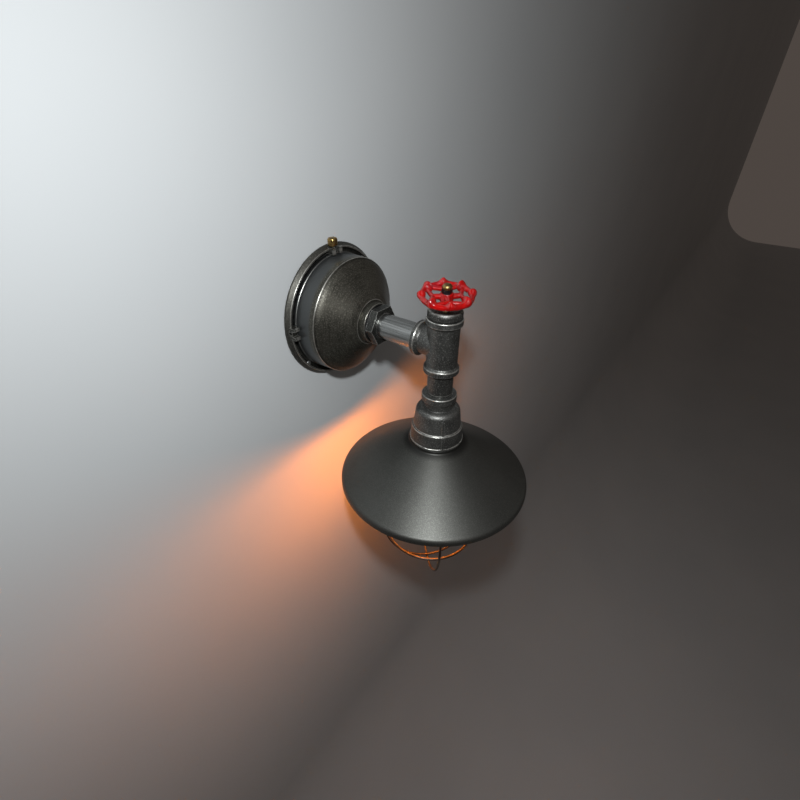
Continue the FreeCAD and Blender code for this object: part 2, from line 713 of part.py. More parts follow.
def ball(name, radius, x, y, z):
    """A sphere with its centre tied to the sheet."""
    item = doc.addObject("Part::Sphere", name)
    bind(item, "Radius", radius)
    return place(item, x=x, y=y, z=z)


def strut(name, start, end, radius):
    """A round bar between two points given as coordinates tied to the sheet."""
    path = [end[i] - start[i] for i in range(3)]
    reach = Vector(*[value_of(part) for part in path])
    bar = doc.addObject("Part::Cylinder", name)
    bind(bar, "Radius", radius)
    bind(bar, "Height", (path[0] * path[0] + path[1] * path[1] + path[2] * path[2]).root())
    place(bar, x=start[0], y=start[1], z=start[2])
    bar.Placement = Placement(bar.Placement.Base, Rotation(Vector(0, 0, 1), reach))
    return bar


spoke_height = hub_base + hub_height / 2
rim_height = spoke_height + rim_rise
rim = doc.addObject("Part::Torus", "rim")
bind(rim, "Radius1", rim_radius)
bind(rim, "Radius2", rim_section_radius)
wheel_hub = turned("wheel_hub", [
    (0, hub_base), (wheel_hub_radius, hub_base, wheel_hub_round),
    (wheel_hub_radius, hub_top, wheel_hub_round), (0, hub_top)])
wheel_parts = [place(rim, z=rim_height), wheel_hub]
for number in range(SPOKES):
    turn = 2 * math.pi * number / SPOKES
    beside = turn + math.pi / SPOKES
    lobe_height = rim_height + lobe_lift
    wheel_parts.append(ball("spoke_lobe_%d" % number, spoke_lobe_radius, spoke_lobe_place * math.cos(turn),
                            spoke_lobe_place * math.sin(turn), lobe_height))
    wheel_parts.append(ball("fork_lobe_%d" % number, fork_lobe_radius, fork_lobe_place * math.cos(beside),
                            fork_lobe_place * math.sin(beside), lobe_height))
    start = [spindle_radius * math.cos(turn), spindle_radius * math.sin(turn), spoke_height]
    fork = [fork_radius * math.cos(turn), fork_radius * math.sin(turn), spoke_height + rim_rise / 2]
    wheel_parts.append(strut("spoke_%d" % number, start, fork, spoke_radius))
    wheel_parts.append(ball("knuckle_%d" % number, knuckle_radius, *fork))
    for side in (-1, 1):
        end = [fork_end * math.cos(turn) - fork_spread * (side * math.sin(turn)),
               fork_end * math.sin(turn) + fork_spread * (side * math.cos(turn)), rim_height]
        wheel_parts.append(strut("arm_%d_%d" % (number, side), fork, end, arm_radius))
wheel_cast = joined("wheel_cast", "MultiFuse", wheel_parts)
wheel_bore = rod("wheel_bore", spindle_radius, hub_base, hub_top)
wheel = cut("wheel", wheel_cast, wheel_bore)
keep("handwheel", on_bent_end(wheel, arm_reach, WHEEL_PHASE))

# Drop nipple: the short vertical pipe between the tee and the reducer.
reducer_top = -tee_half_length - drop_length
drop_top = thread_grip - tee_half_length
drop_end = reducer_top - thread_grip
keep("drop_nipple", place(tube("drop", pipe_bore_radius, pipe_radius, drop_end, drop_top), y=-arm_reach))

# Reducer: a banded socket, a short neck, a round bell and a flared skirt, with two mould ribs.
band_end = reducer_top - reducer_band_width
neck_end = band_end - reducer_neck_length
bell_bottom = neck_end - bell_length
flare_end = bell_bottom - skirt_flare
skirt_bottom = flare_end - skirt_length
roof = neck_end - bell_roof
bead_top = skirt_bottom + skirt_bead_width
reducer_body = turned("reducer_body", [
    (bore_radius, reducer_top), (reducer_band_radius, reducer_top, tee_band_round),
    (reducer_band_radius, band_end, tee_band_round), (reducer_neck_radius, band_end, tee_band_round),
    (reducer_neck_radius, neck_end, skirt_round), (bell_top_radius, neck_end, bell_round),
    (bell_radius, bell_bottom), (skirt_top_radius, flare_end, skirt_round),
    (skirt_radius, bead_top), (skirt_bead_radius, bead_top, skirt_round),
    (skirt_bead_radius, skirt_bottom, skirt_round), (skirt_bore_radius, skirt_bottom),
    (skirt_bore_radius, bell_bottom), (bell_radius - bell_wall, bell_bottom),
    (bell_top_radius - bell_wall, roof), (pipe_bore_radius, roof), (pipe_bore_radius, drop_end),
    (bore_radius, drop_end)])
MOULD_HEADING = 225
mould_ribs = []
rib_foot = bell_top_radius - mould_rib_sink
rib_reach = bell_radius + mould_rib_height - rib_foot
rib_top = neck_end - mould_rib_gap
skirt_rib_foot = skirt_radius - mould_rib_sink
skirt_rib_base = skirt_bottom + skirt_rib_margin
half_rib = mould_rib_width / 2
for number in (0, 1):
    heading = MOULD_HEADING + 180 * number
    angle = math.radians(heading)
    rib = block("mould_rib_%d" % number, rib_reach, mould_rib_width, rib_top - bell_bottom)
    skirt_rib = block("skirt_rib_%d" % number, mould_rib_sink + mould_rib_height, mould_rib_width,
                      flare_end - skirt_rib_base)
    for item, radius, height in ((rib, rib_foot, bell_bottom), (skirt_rib, skirt_rib_foot, skirt_rib_base)):
        place(item, x=radius * math.cos(angle) + half_rib * math.sin(angle),
              y=radius * math.sin(angle) - half_rib * math.cos(angle), z=height)
        item.Placement = Placement(item.Placement.Base, Rotation(Vector(0, 0, 1), heading))
        mould_ribs.append(item)
reducer = joined("reducer_cast", "MultiFuse", [reducer_body] + mould_ribs)
keep("reducer", place(reducer, y=-arm_reach))

# Lampholder: a threaded bushing in the reducer, the insulating body, its screw shell and contact.
bushing_top = skirt_bottom + bushing_length
neck_hole = holder_neck_radius + holder_clearance
bushing = tube("bushing", neck_hole, skirt_bore_radius, skirt_bottom, bushing_top)
keep("holder_bushing", place(bushing, y=-arm_reach))
holder_top = bushing_top + holder_head_length
holder_bottom = bushing_top - holder_neck_length
shell_radius = holder_neck_radius - holder_wall
holder_roof = holder_top - holder_wall
holder_body = turned("holder_body", [
    (wire_entry_radius, holder_top), (holder_head_radius, holder_top, holder_clearance * 5),
    (holder_head_radius, bushing_top), (holder_neck_radius, bushing_top),
    (holder_neck_radius, holder_bottom), (shell_radius, holder_bottom),
    (shell_radius, holder_roof), (wire_entry_radius, holder_roof)])
keep("lampholder_body", place(holder_body, y=-arm_reach))
contact_top = bushing_top + contact_thick
contact_base = tube("contact_base", cable_radius * 4, shell_radius, bushing_top, contact_top)
keep("contact_disc", place(contact_base, y=-arm_reach))
shell = tube("shell", shell_radius - shell_wall, shell_radius, holder_bottom + holder_clearance, bushing_top)
keep("screw_shell", place(shell, y=-arm_reach))

# Lamp: a screw cap, a pear-shaped glass, a glass stem and a filament ring.
cap_top = bushing_top - contact_tab_height
lamp_top = cap_top
cap_bottom = lamp_top - lamp_cap_length
lamp_bottom = lamp_top - lamp_length
inner_cap = lamp_cap_radius - lamp_glass_wall
lamp_cap = turned("lamp_cap_shape", [
    (0, lamp_top), (cap_chamfer, lamp_top, shell_wall), (lamp_cap_radius, lamp_top - cap_chamfer),
    (lamp_cap_radius, cap_bottom), (inner_cap, cap_bottom), (inner_cap, lamp_top - cap_chamfer - cap_roof),
    (0, lamp_top - cap_chamfer - cap_roof)])
keep("lamp_cap", place(lamp_cap, y=-arm_reach))
globe_top = lamp_bottom + lamp_globe_height
throat = cap_bottom - lamp_throat_length
# An arc this much of its full radius still leaves a short straight run beside it.
ALMOST_ALL = 0.98


def glass_line(inset):
    """The glass's line at a distance inside its outer face, from the cap to the tip."""
    widest = lamp_radius - inset
    return [(inner_cap - inset, cap_bottom), (inner_cap + lamp_throat_swell - inset, throat, lamp_radius),
            (widest, globe_top, lamp_radius * ALMOST_ALL),
            (widest, lamp_bottom + inset, widest * ALMOST_ALL), (0, lamp_bottom + inset)]


outer_line = glass_line(length(0))
inner_line = glass_line(lamp_glass_wall)
lamp_glass = turned("lamp_glass_shape", outer_line + inner_line[::-1])
keep("lamp_glass", place(lamp_glass, y=-arm_reach))
stem_top = lamp_top - cap_chamfer - cap_roof * 1.5
stem_bottom = stem_top - lamp_stem_length
keep("lamp_stem", place(rod("stem", lamp_stem_radius, stem_bottom, stem_top), y=-arm_reach, z=stem_bottom))
filament = doc.addObject("Part::Torus", "filament")
bind(filament, "Radius1", filament_ring_radius)
bind(filament, "Radius2", filament_radius)
filament_height = lamp_bottom + lamp_radius
filament_posts = []
for turn in range(3):
    angle = math.radians(120 * turn)
    foot = [lamp_stem_radius * (math.cos(angle) * 0.5), lamp_stem_radius * (math.sin(angle) * 0.5),
            stem_bottom + filament_radius]
    tip = [filament_ring_radius * math.cos(angle), filament_ring_radius * math.sin(angle), filament_height]
    filament_posts.append(strut("filament_post_%d" % turn, foot, tip, filament_radius * 0.7))
place(filament, z=filament_height)
stem_room = rod("stem_room", lamp_stem_radius, stem_bottom, stem_top)
filament_frame = joined("filament_frame", "MultiFuse", [filament] + filament_posts)
keep("lamp_filament", place(cut("filament_cut", filament_frame, stem_room), y=-arm_reach))

# Shade: a spun cone with a small shouldered neck and a turned-down edge, one even wall throughout.
shade_top = skirt_bottom
cone_top = shade_top - shade_neck_length
rim_corner = cone_top - shade_cone_drop
rim_bottom = rim_corner - shade_edge_length
cone_run = shade_rim_radius - shade_neck_radius
cone_slant = (cone_run * cone_run + shade_cone_drop * shade_cone_drop).root()
wall_shift = shade_wall * ((cone_slant - shade_cone_drop) / cone_run)
inner_neck = shade_neck_radius - shade_wall
inner_rim = shade_rim_radius - shade_wall
shade = turned("shade_shape", [
    (neck_hole, shade_top), (shade_neck_radius, shade_top, shade_shoulder),
    (shade_neck_radius, cone_top, shade_neck_round), (shade_rim_radius, rim_corner, shade_rim_round),
    (shade_rim_radius, rim_bottom), (inner_rim, rim_bottom),
    (inner_rim, rim_corner - wall_shift, shade_rim_round - shade_wall),
    (inner_neck, cone_top - wall_shift), (inner_neck, shade_top - shade_wall),
    (neck_hole, shade_top - shade_wall)])
keep("shade", place(shade, y=-arm_reach))

# Cage collar and ring nut: the flat collar lies under the shade and the nut clamps both.
collar_top = shade_top - shade_wall
collar_bottom = collar_top - collar_thick
collar = tube("collar", neck_hole, collar_radius, collar_bottom, collar_top)
keep("cage_collar", place(collar, y=-arm_reach))
nut_bottom = collar_bottom - ring_nut_thick
ring_nut = tube("ring_nut", holder_neck_radius, ring_nut_radius, nut_bottom, collar_bottom)
keep("cage_ring_nut", place(ring_nut, y=-arm_reach))

# Cage wires: two bent loops that cross under the lamp, one just above the other, and a ring.
leg_top = collar_bottom - wire_radius
slope_end = leg_top - cage_slope_drop
leg_end = -cage_leg_bottom
cage_bottom = cage_leg_bottom + cage_curve_depth


def side_arc_radius(bottom):
    """The radius of the arc that runs from a straight leg into the round tip."""
    rest = bottom - cage_leg_bottom - cage_tip_radius
    square = cage_radius * cage_radius + rest * rest - cage_tip_radius * cage_tip_radius
    return square / ((cage_radius - cage_tip_radius) * 2)


def wire_loop(name, bottom):
    """One wire: out from the collar, down a leg, round the bottom and up the other side."""
    rest = bottom - cage_leg_bottom - cage_tip_radius
    side = side_arc_radius(bottom)
    lean_out = (side - cage_radius) / (side - cage_tip_radius)
    lean_down = rest / (side - cage_tip_radius)
    joint_out = cage_tip_radius * lean_out
    joint_height = cage_tip_radius - bottom - cage_tip_radius * lean_down
    slope = lean_out / lean_down
    corner_height = joint_height + (cage_radius - joint_out) * slope
    tip_height = joint_height - joint_out * slope
    near = [(cage_start_radius, leg_top), (cage_shoulder_radius, leg_top, cage_bend_radius / 2),
            (cage_radius, slope_end, cage_bend_radius), (cage_radius, corner_height, side * ALMOST_ALL)]
    far = [(-corner[0],) + corner[1:] for corner in near[::-1]]
    body = doc.addObject("PartDesign::Body", name)
    path = new_sketch(body, "XZ_Plane", name + "_path")
    draw_chain(path, near + [(0, tip_height, cage_tip_radius * ALMOST_ALL)] + far, False)
    section = new_sketch(body, "YZ_Plane", name + "_section")
    section.setExpression("AttachmentOffset.Base.z", cage_start_radius.formula)
    circle = Part.Circle(Vector(0, leg_top.value, 0), Vector(0, 0, 1), wire_radius.value)
    index = section.addGeometry(circle, False)
    fix_point(section, index, 3, 0, leg_top)
    rule = section.addConstraint(Sketcher.Constraint("Radius", index, wire_radius.value))
    section.setExpression("Constraints[%d]" % rule, wire_radius.formula)
    sweep = body.newObject("PartDesign::AdditivePipe", name + "_sweep")
    sweep.Profile = section
    sweep.Spine = path
    body.Tip = sweep
    return body


upper_bottom = cage_bottom - wire_radius * 2
for node, bottom, heading in (("cage_wire_lower", cage_bottom, 45), ("cage_wire_upper", upper_bottom, 135)):
    loop = wire_loop(node + "_loop", bottom)
    keep(node, place(loop, y=-arm_reach, rotation=Rotation(Vector(0, 0, 1), heading)))
upper_arc = side_arc_radius(upper_bottom)
wire_out = cage_radius - upper_arc + (upper_arc * upper_arc - cage_ring_drop * cage_ring_drop).root()
cage_ring = doc.addObject("Part::Torus", "ring_wire")
bind(cage_ring, "Radius1", wire_out - wire_radius * 2 + weld_bite)
bind(cage_ring, "Radius2", wire_radius)
keep("cage_ring", place(cage_ring, y=-arm_reach, z=leg_end - cage_ring_drop))

# Terminal block and earth screw on the mounting plate, behind the cover.
terminal = block("terminal", block_width, block_height, block_depth)
terminal_block = keep("terminal_block", terminal)
terminal.Placement = Placement(Vector(0, 0, 0), OUTWARD)
bind(terminal, "Placement.Base.x", -(block_width / 2))
bind(terminal, "Placement.Base.y", -plate_thick)
bind(terminal, "Placement.Base.z", -block_drop)
earth = turned("earth", [
    (0, 0), (earth_screw_radius, 0), (earth_screw_radius, plate_thick),
    (earth_screw_radius * 2, plate_thick),
    (earth_screw_radius * 2, plate_thick + earth_screw_radius, earth_screw_radius / 2),
    (0, plate_thick + earth_screw_radius)])
keep("earth_screw", place(earth, x=earth_screw_offset, z=earth_screw_offset, rotation=OUTWARD))


def cable(node, corners):
    """A round wire of straight runs joined by tangent arcs through the corners."""
    points = [Vector(*[value_of(part) for part in corner]) for corner in corners]
    edges = []
    start = points[0]
    for before, corner, after in zip(points, points[1:], points[2:]):
        into = (corner - before).normalize()
        out = (after - corner).normalize()
        half = into.getAngle(out) / 2
        trim = 0.45 * min((corner - before).Length, (after - corner).Length)
        bisector = (out - into).normalize()
        radius = trim / math.tan(half)
        centre = corner + bisector * (radius / math.cos(half))
        enter = corner - into * trim
        leave = corner + out * trim
        edges.append(Part.LineSegment(start, enter).toShape())
        edges.append(Part.Arc(enter, centre - bisector * radius, leave).toShape())
        start = leave
    edges.append(Part.LineSegment(start, points[-1]).toShape())
    path = Part.Wire(edges)
    ring = Part.makeCircle(cable_radius.value, points[0], points[1] - points[0])
    item = doc.addObject("Part::Feature", node + "_wire")
    item.Shape = path.makePipeShell([Part.Wire(ring)], True, False)
    return keep(node, item)


block_top = block_height - block_drop
block_face = -plate_thick - block_depth / 2
lead_in = block_face - (arm_start - plate_thick) * 0.55
lamp_line = -arm_reach
live_turn = switch_base - cable_radius * 8
cable("wire_live", [
    (-cable_spread, block_face, block_top), (-cable_spread, block_face, block_top * 0.3),
    (-cable_spread, lead_in, length(0)), (-cable_spread, lamp_line + pipe_radius, length(0)),
    (-cable_spread, lamp_line, live_turn), (-cable_spread, lamp_line, switch_base)])
cable("wire_neutral", [
    (cable_spread, block_face, block_top), (cable_spread, block_face, block_top * 0.3),
    (cable_spread, lead_in, length(0)), (cable_spread, lamp_line + pipe_radius, length(0)),
    (cable_spread, lamp_line, -pipe_radius), (cable_spread, lamp_line, contact_top)])
cable("wire_switched", [(length(0), lamp_line - cable_spread, switch_base),
                        (length(0), lamp_line - cable_spread, contact_top)])

doc.recompute()


def problems():
    """Every object that failed to build and every sub-part without a sound shape."""
    found = [item.Name for item in doc.Objects if "Invalid" in item.State or "Error" in item.State]
    for node, item in nodes.items():
        if item.Shape.isNull() or not item.Shape.isValid() or not item.Shape.Solids:
            found.append(node)
    return found


faults = problems()
if faults:
    raise RuntimeError("these objects failed: " + ", ".join(faults))
os.makedirs("parts", exist_ok=True)
for node, item in nodes.items():
    item.Shape.exportStep("parts/%s.step" % node)
    print(node, len(item.Shape.Solids), "solids", round(item.Shape.Volume, 1), "mm3")
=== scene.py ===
import bmesh
import bpy
import math
from mathutils import Matrix, Vector


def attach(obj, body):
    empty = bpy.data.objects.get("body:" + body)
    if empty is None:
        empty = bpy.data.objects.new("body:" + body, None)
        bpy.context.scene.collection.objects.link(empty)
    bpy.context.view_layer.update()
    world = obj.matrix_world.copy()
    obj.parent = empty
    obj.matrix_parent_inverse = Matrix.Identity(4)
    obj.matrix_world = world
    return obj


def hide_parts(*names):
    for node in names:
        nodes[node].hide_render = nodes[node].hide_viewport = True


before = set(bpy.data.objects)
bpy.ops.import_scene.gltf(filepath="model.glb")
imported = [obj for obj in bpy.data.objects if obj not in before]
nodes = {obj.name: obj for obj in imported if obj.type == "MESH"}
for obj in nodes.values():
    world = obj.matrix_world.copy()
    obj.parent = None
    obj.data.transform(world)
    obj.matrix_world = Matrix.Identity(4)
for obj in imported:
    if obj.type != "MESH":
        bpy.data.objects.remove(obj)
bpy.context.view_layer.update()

# Mounting plate
# A round zinc-plated steel plate that two screws hold to the wall box. The wall ring is riveted to
# it, and the cover hides it. The other zinc-plated pieces, all hidden too, share its finish.

MM = 0.001
PALE_ZINC = (0.62, 0.63, 0.62, 1)
DULL_ZINC = (0.40, 0.41, 0.42, 1)


def add_node(tree, kind, settings=None, **sockets):
    """One shader node. A socket is named by s and its number, or by its own name with _ for a space.
    It is linked where it is given another node's socket, and set where it is given a plain value."""
    item = tree.nodes.new("ShaderNode" + kind)
    for name, value in (settings or {}).items():
        setattr(item, name, value)
    for name, value in sockets.items():
        socket = item.inputs[int(name[1:])] if name[1:].isdigit() else item.inputs[name.replace("_", " ")]
        if isinstance(value, bpy.types.NodeSocket):
            tree.links.new(value, socket)
        else:
            socket.default_value = value
    return item


def new_finish(name, **shader_values):
    """A material with its tree, its Principled shader and its object coordinates."""
    material = bpy.data.materials.new(name)
    material.use_nodes = True
    tree = material.node_tree
    shader = tree.nodes["Principled BSDF"]
    for key, value in shader_values.items():
        shader.inputs[key.replace("_", " ")].default_value = value
    place = add_node(tree, "TexCoord").outputs["Object"]
    return material, tree, shader, place


def grain(tree, place, per_metre, detail=2.0, stretch=(1, 1, 1), roughness=0.5):
    """Noise with so many grains to the metre, drawn out along an axis where stretch is below one."""
    scaled = add_node(tree, "Mapping", s0=place, Scale=stretch)
    noise = add_node(tree, "TexNoise", s0=scaled.outputs[0], Scale=per_metre, Detail=detail,
                     Roughness=roughness)
    return noise.outputs[0]


def between(tree, amount, low, high, out_low=0.0, out_high=1.0):
    """Maps a range of one number on to another, with soft ends."""
    ramp = add_node(tree, "MapRange", {"interpolation_type": "SMOOTHSTEP"}, s0=amount, s1=low, s2=high,
                    s3=out_low, s4=out_high)
    return ramp.outputs[0]


def maths(tree, kind, first, second):
    """One step of arithmetic on two numbers."""
    return add_node(tree, "Math", {"operation": kind}, s0=first, s1=second).outputs[0]


def blend_colour(tree, amount, first, second):
    """A mix of two colours, each a plain colour or a socket."""
    mix = add_node(tree, "Mix", {"data_type": "RGBA"}, s0=amount, s6=first, s7=second)
    return mix.outputs[2]


def paint(tree, shader, colour):
    """Drives the shader's base colour."""
    tree.links.new(colour, shader.inputs["Base Color"])


def polish(tree, shader, roughness):
    """Drives the shader's roughness."""
    tree.links.new(roughness, shader.inputs["Roughness"])


def raise_bump(tree, shader, height, strength, depth):
    """Drives the shader's normal from a height between 0 and 1, with its depth in metres."""
    bump = add_node(tree, "Bump", Strength=strength, Distance=depth, Height=height)
    tree.links.new(bump.outputs[0], shader.inputs["Normal"])


def dress(node, material):
    """Gives one carried-over solid its finish."""
    item = nodes[node]
    item.data.materials.clear()
    item.data.materials.append(material)
    return item


zinc, tree, shader, place = new_finish("zinc plating", Metallic=1.0, Roughness=0.42)
spangle = grain(tree, place, 180, detail=3.0)
dull = between(tree, spangle, 0.35, 0.7)
paint(tree, shader, blend_colour(tree, dull, DULL_ZINC, PALE_ZINC))
raise_bump(tree, shader, grain(tree, place, 1400), strength=0.25, depth=0.1 * MM)
for node in ("mounting_plate", "ring_rivets", "lock_nut_back", "holder_bushing"):
    dress(node, zinc)

# Wall ring
# A pressed steel ring with a sloping edge and four forked lugs. Its grey lacquer is satin all over,
# and rubbed to bare metal along the front edge and on the lugs. The groove inside it is painted dark as
# shade.

LAMP_REACH = 147 * MM
BARE_STEEL = (0.62, 0.61, 0.57, 1)
# The near-black below is painted shade, laid into grooves, gaps and recesses.
SHADE_BLACK = (0.008, 0.008, 0.007, 1)
# The skirt's paler blue-grey below is a painted reflection of the lit wall.
SKIRT_SHEEN_GREY = (0.092, 0.097, 0.098, 1)
LINE_CONTRAST = 2.2
TURNED_GRAIN = (0.03, 1, 0.03)
SKIRT_RAGGED = 4 * MM
SKIRT_FADE = 3.5 * MM
SKIRT_ROUGHNESS = 0.4
RUBBED_ROUGHNESS = 0.25
RING_EDGE = 71.1 * MM
RING_FRONT = 8 * MM
LUG_RADIUS = 68.8 * MM
LUG_FACE = 14.9 * MM
GROOVE_RADIUS = 68 * MM
GROOVE_FLOOR = 4.5 * MM


def about_pipe(tree, place, vertical):
    """Distance from a pipe's axis and position along it, for the lamp's vertical or the arm's axis."""
    on_axis = (0, -LAMP_REACH, 0) if vertical else (0, 0, 0)
    across = (1, 1, 0) if vertical else (1, 0, 1)
    centred = add_node(tree, "VectorMath", {"operation": "SUBTRACT"}, s0=place, s1=on_axis)
    spread = add_node(tree, "VectorMath", {"operation": "MULTIPLY"}, s0=centred.outputs[0], s1=across)
    radius = add_node(tree, "VectorMath", {"operation": "LENGTH"}, s0=spread.outputs[0]).outputs[1]
    parts = add_node(tree, "SeparateXYZ", s0=place)
    along = parts.outputs[2] if vertical else maths(tree, "MULTIPLY", parts.outputs[1], -1.0)
    return radius, along


def rubbed_rims(tree, place, vertical, rims):
    """Bright where the surface lies near a rim, given as radius, position along, width and strength."""
    radius, along = about_pipe(tree, place, vertical)
    here = add_node(tree, "CombineXYZ", s0=radius, s1=along).outputs[0]
    total = None
    for rim_radius, rim_place, width, strength in rims:
        rim = (rim_radius, rim_place, 0)
        gap = add_node(tree, "VectorMath", {"operation": "DISTANCE"}, s0=here, s1=rim)
        near = between(tree, gap.outputs[1], 0.0, width, strength, 0.0)
        total = near if total is None else maths(tree, "MAXIMUM", total, near)
    return total


def rubbed_corners(tree, reach):
    """Bright where two faces meet at a sharp corner."""
    soft = add_node(tree, "Bevel", {"samples": 8}, Radius=reach)
    true = add_node(tree, "NewGeometry").outputs["Normal"]
    facing = add_node(tree, "VectorMath", {"operation": "DOT_PRODUCT"}, s0=soft.outputs[0], s1=true)
    return between(tree, facing.outputs[1], 0.99, 0.88)


def patchy(tree, place, amount, per_metre=160, keep=0.35):
    """Breaks a mask up, as rubbing by hand does, down to the share that keep gives."""
    worn = between(tree, grain(tree, place, per_metre, detail=4.0), 0.32, 0.62, keep, 1.0)
    return maths(tree, "MULTIPLY", amount, worn)


def lacquered_steel(name, dark, warm, rims, painted_shade, brushed, gloss, corners=0.0, skirt_end=None):
    """Grey lacquer over turned steel: fine turning lines, cloudy warmth and rubbed rims. Rims and
    places darkened as painted shade are given as for rubbed_rims, and skirt_end is where a plainer
    skirt, painted paler as a painted reflection, ends."""
    material, tree, shader, place = new_finish(name, Metallic=0.85, Roughness=0.4)
    lines = grain(tree, place, 2400, detail=1.0, stretch=TURNED_GRAIN)
    cloud = between(tree, grain(tree, place, 26, detail=4.0, roughness=0.6), 0.32, 0.68)
    fleck = between(tree, grain(tree, place, 760, detail=3.0), 0.5, 0.68, 0.0, 0.75)
    colour = blend_colour(tree, cloud, dark, warm)
    lighter = [min(1.0, part * LINE_CONTRAST) for part in warm[:3]] + [1]
    lined = blend_colour(tree, between(tree, lines, 0.35, 0.75, 0.0, brushed), colour, lighter)
    lacquer = blend_colour(tree, fleck, lined, lighter)
    rough = gloss
    if skirt_end:
        along = about_pipe(tree, place, False)[1]
        ragged = maths(tree, "MULTIPLY", grain(tree, place, 700, detail=4.0), SKIRT_RAGGED)
        edge = maths(tree, "ADD", along, ragged)
        # The plain skirt is less brushed and rougher, and painted paler as a painted reflection.
        plain_and_sheen = between(tree, edge, skirt_end - SKIRT_FADE, skirt_end, 1.0, 0.0)
        lacquer = blend_colour(tree, plain_and_sheen, lacquer, SKIRT_SHEEN_GREY)
        rough = between(tree, plain_and_sheen, 0.0, 1.0, gloss, SKIRT_ROUGHNESS)
    # Painted shade: the given rims are darkened towards near-black.
    for shade_rim in painted_shade:
        spot = rubbed_rims(tree, place, False, [shade_rim])
        shade_mask = patchy(tree, place, spot, per_metre=320, keep=0.55)
        lacquer = blend_colour(tree, shade_mask, lacquer, SHADE_BLACK)
    mask = patchy(tree, place, rubbed_rims(tree, place, False, rims))
    if corners:
        sharp = patchy(tree, place, rubbed_corners(tree, corners), per_metre=260, keep=0.3)
        mask = maths(tree, "MAXIMUM", mask, sharp)
    paint(tree, shader, blend_colour(tree, mask, lacquer, BARE_STEEL))
    polish(tree, shader, between(tree, mask, 0.0, 1.0, rough, RUBBED_ROUGHNESS))
    half_lines = maths(tree, "MULTIPLY", lines, 0.5)
    half_grain = maths(tree, "MULTIPLY", grain(tree, place, 1100), 0.5)
    raise_bump(tree, shader, maths(tree, "ADD", half_lines, half_grain), strength=0.32, depth=0.14 * MM)
    return material


# The groove between the ring's edge and the cover is darkened here as painted shade.
ring_finish = lacquered_steel(
    "ring lacquer", dark=(0.042, 0.042, 0.038, 1), warm=(0.058, 0.057, 0.050, 1),
    rims=[(RING_EDGE, RING_FRONT, 0.8 * MM, 0.6), (LUG_RADIUS, LUG_FACE, 3.4 * MM, 0.8)],
    painted_shade=[(GROOVE_RADIUS, GROOVE_FLOOR, 4.5 * MM, 1.0)],
    brushed=0.1, gloss=0.52, corners=0.9 * MM)
dress("wall_ring", ring_finish)

# Cover
# A spun steel bell over the wall box, lacquered and brushed round its axis. Its skirt is plainer than
# the bell, and painted a paler grey as a painted reflection of the lit wall. The turn between them and
# the hub's steps are worn bright. The skirt's foot inside the ring and the band behind the turn are
# painted dark as shade. Each edge is a radius about the arm's axis and a distance from the wall.

SKIRT_FOOT = (64.4 * MM, 8.7 * MM)
SKIRT_GAP = (64.8 * MM, 5.2 * MM)
SKIRT_TURN = (63.1 * MM, 31.9 * MM)
TURN_SHADOW = (62.6 * MM, 33.6 * MM)
HUB_STEP = (24.4 * MM, 57.2 * MM)
HUB_FACE = (21.6 * MM, 64.2 * MM)
# Painted shade: the skirt's foot inside the ring and the band behind the turn are darkened.
cover_finish = lacquered_steel(
    "cover lacquer", dark=(0.044, 0.043, 0.036, 1), warm=(0.080, 0.077, 0.065, 1),
    rims=[(*SKIRT_TURN, 0.7 * MM, 0.95), (*SKIRT_FOOT, 0.6 * MM, 0.35), (*HUB_STEP, 0.7 * MM, 0.8),
          (*HUB_FACE, 0.7 * MM, 0.8)],
    painted_shade=[(*SKIRT_GAP, 3.6 * MM, 0.9), (*TURN_SHADOW, 2.2 * MM, 0.75)],
    brushed=0.34, gloss=0.38, skirt_end=30 * MM)
dress("cover", cover_finish)

# Lug screws
# A brass thumb screw with a knurled, domed head in the top lug, and three short grub screws of
# blackened steel. The small brass and dark steel pieces of the switch and the lamp are finished alike.

YELLOW_BRASS = (0.42, 0.28, 0.10, 1)
BROWN_BRASS = (0.16, 0.105, 0.045, 1)
BLACK_STEEL = (0.022, 0.022, 0.024, 1)
WORN_BLACK_STEEL = (0.05, 0.05, 0.052, 1)
brass, tree, shader, place = new_finish("aged brass", Metallic=1.0, Roughness=0.3)
tarnish = between(tree, grain(tree, place, 260, detail=4.0), 0.35, 0.65)
paint(tree, shader, blend_colour(tree, tarnish, YELLOW_BRASS, BROWN_BRASS))
polish(tree, shader, between(tree, tarnish, 0.0, 1.0, 0.24, 0.45))
raise_bump(tree, shader, grain(tree, place, 1800), strength=0.2, depth=0.1 * MM)
for node in ("thumb_screw", "wheel_cap_nut", "switch_bush", "switch_nut", "screw_shell", "lamp_cap",
             "earth_screw"):
    dress(node, brass)

dark_steel, tree, shader, place = new_finish("blackened steel", Metallic=0.9, Roughness=0.38)
oil = between(tree, grain(tree, place, 300, detail=3.0), 0.3, 0.7)
paint(tree, shader, blend_colour(tree, oil, BLACK_STEEL, WORN_BLACK_STEEL))
raise_bump(tree, shader, grain(tree, place, 1600), strength=0.2, depth=0.1 * MM)
for node in ("grub_screws", "hub_washer", "switch_spindle", "wheel_lock_nut"):
    dress(node, dark_steel)

# Castings
# Malleable iron, cast in sand: the tee, its plug, the lock nut and the reducer. Their rough skin has
# an antique dark finish, and is rubbed bright along the rolled bands and other edges. The plug's neck
# is darkened as painted shade. Each edge is a radius about the piece's own axis and a place along it.

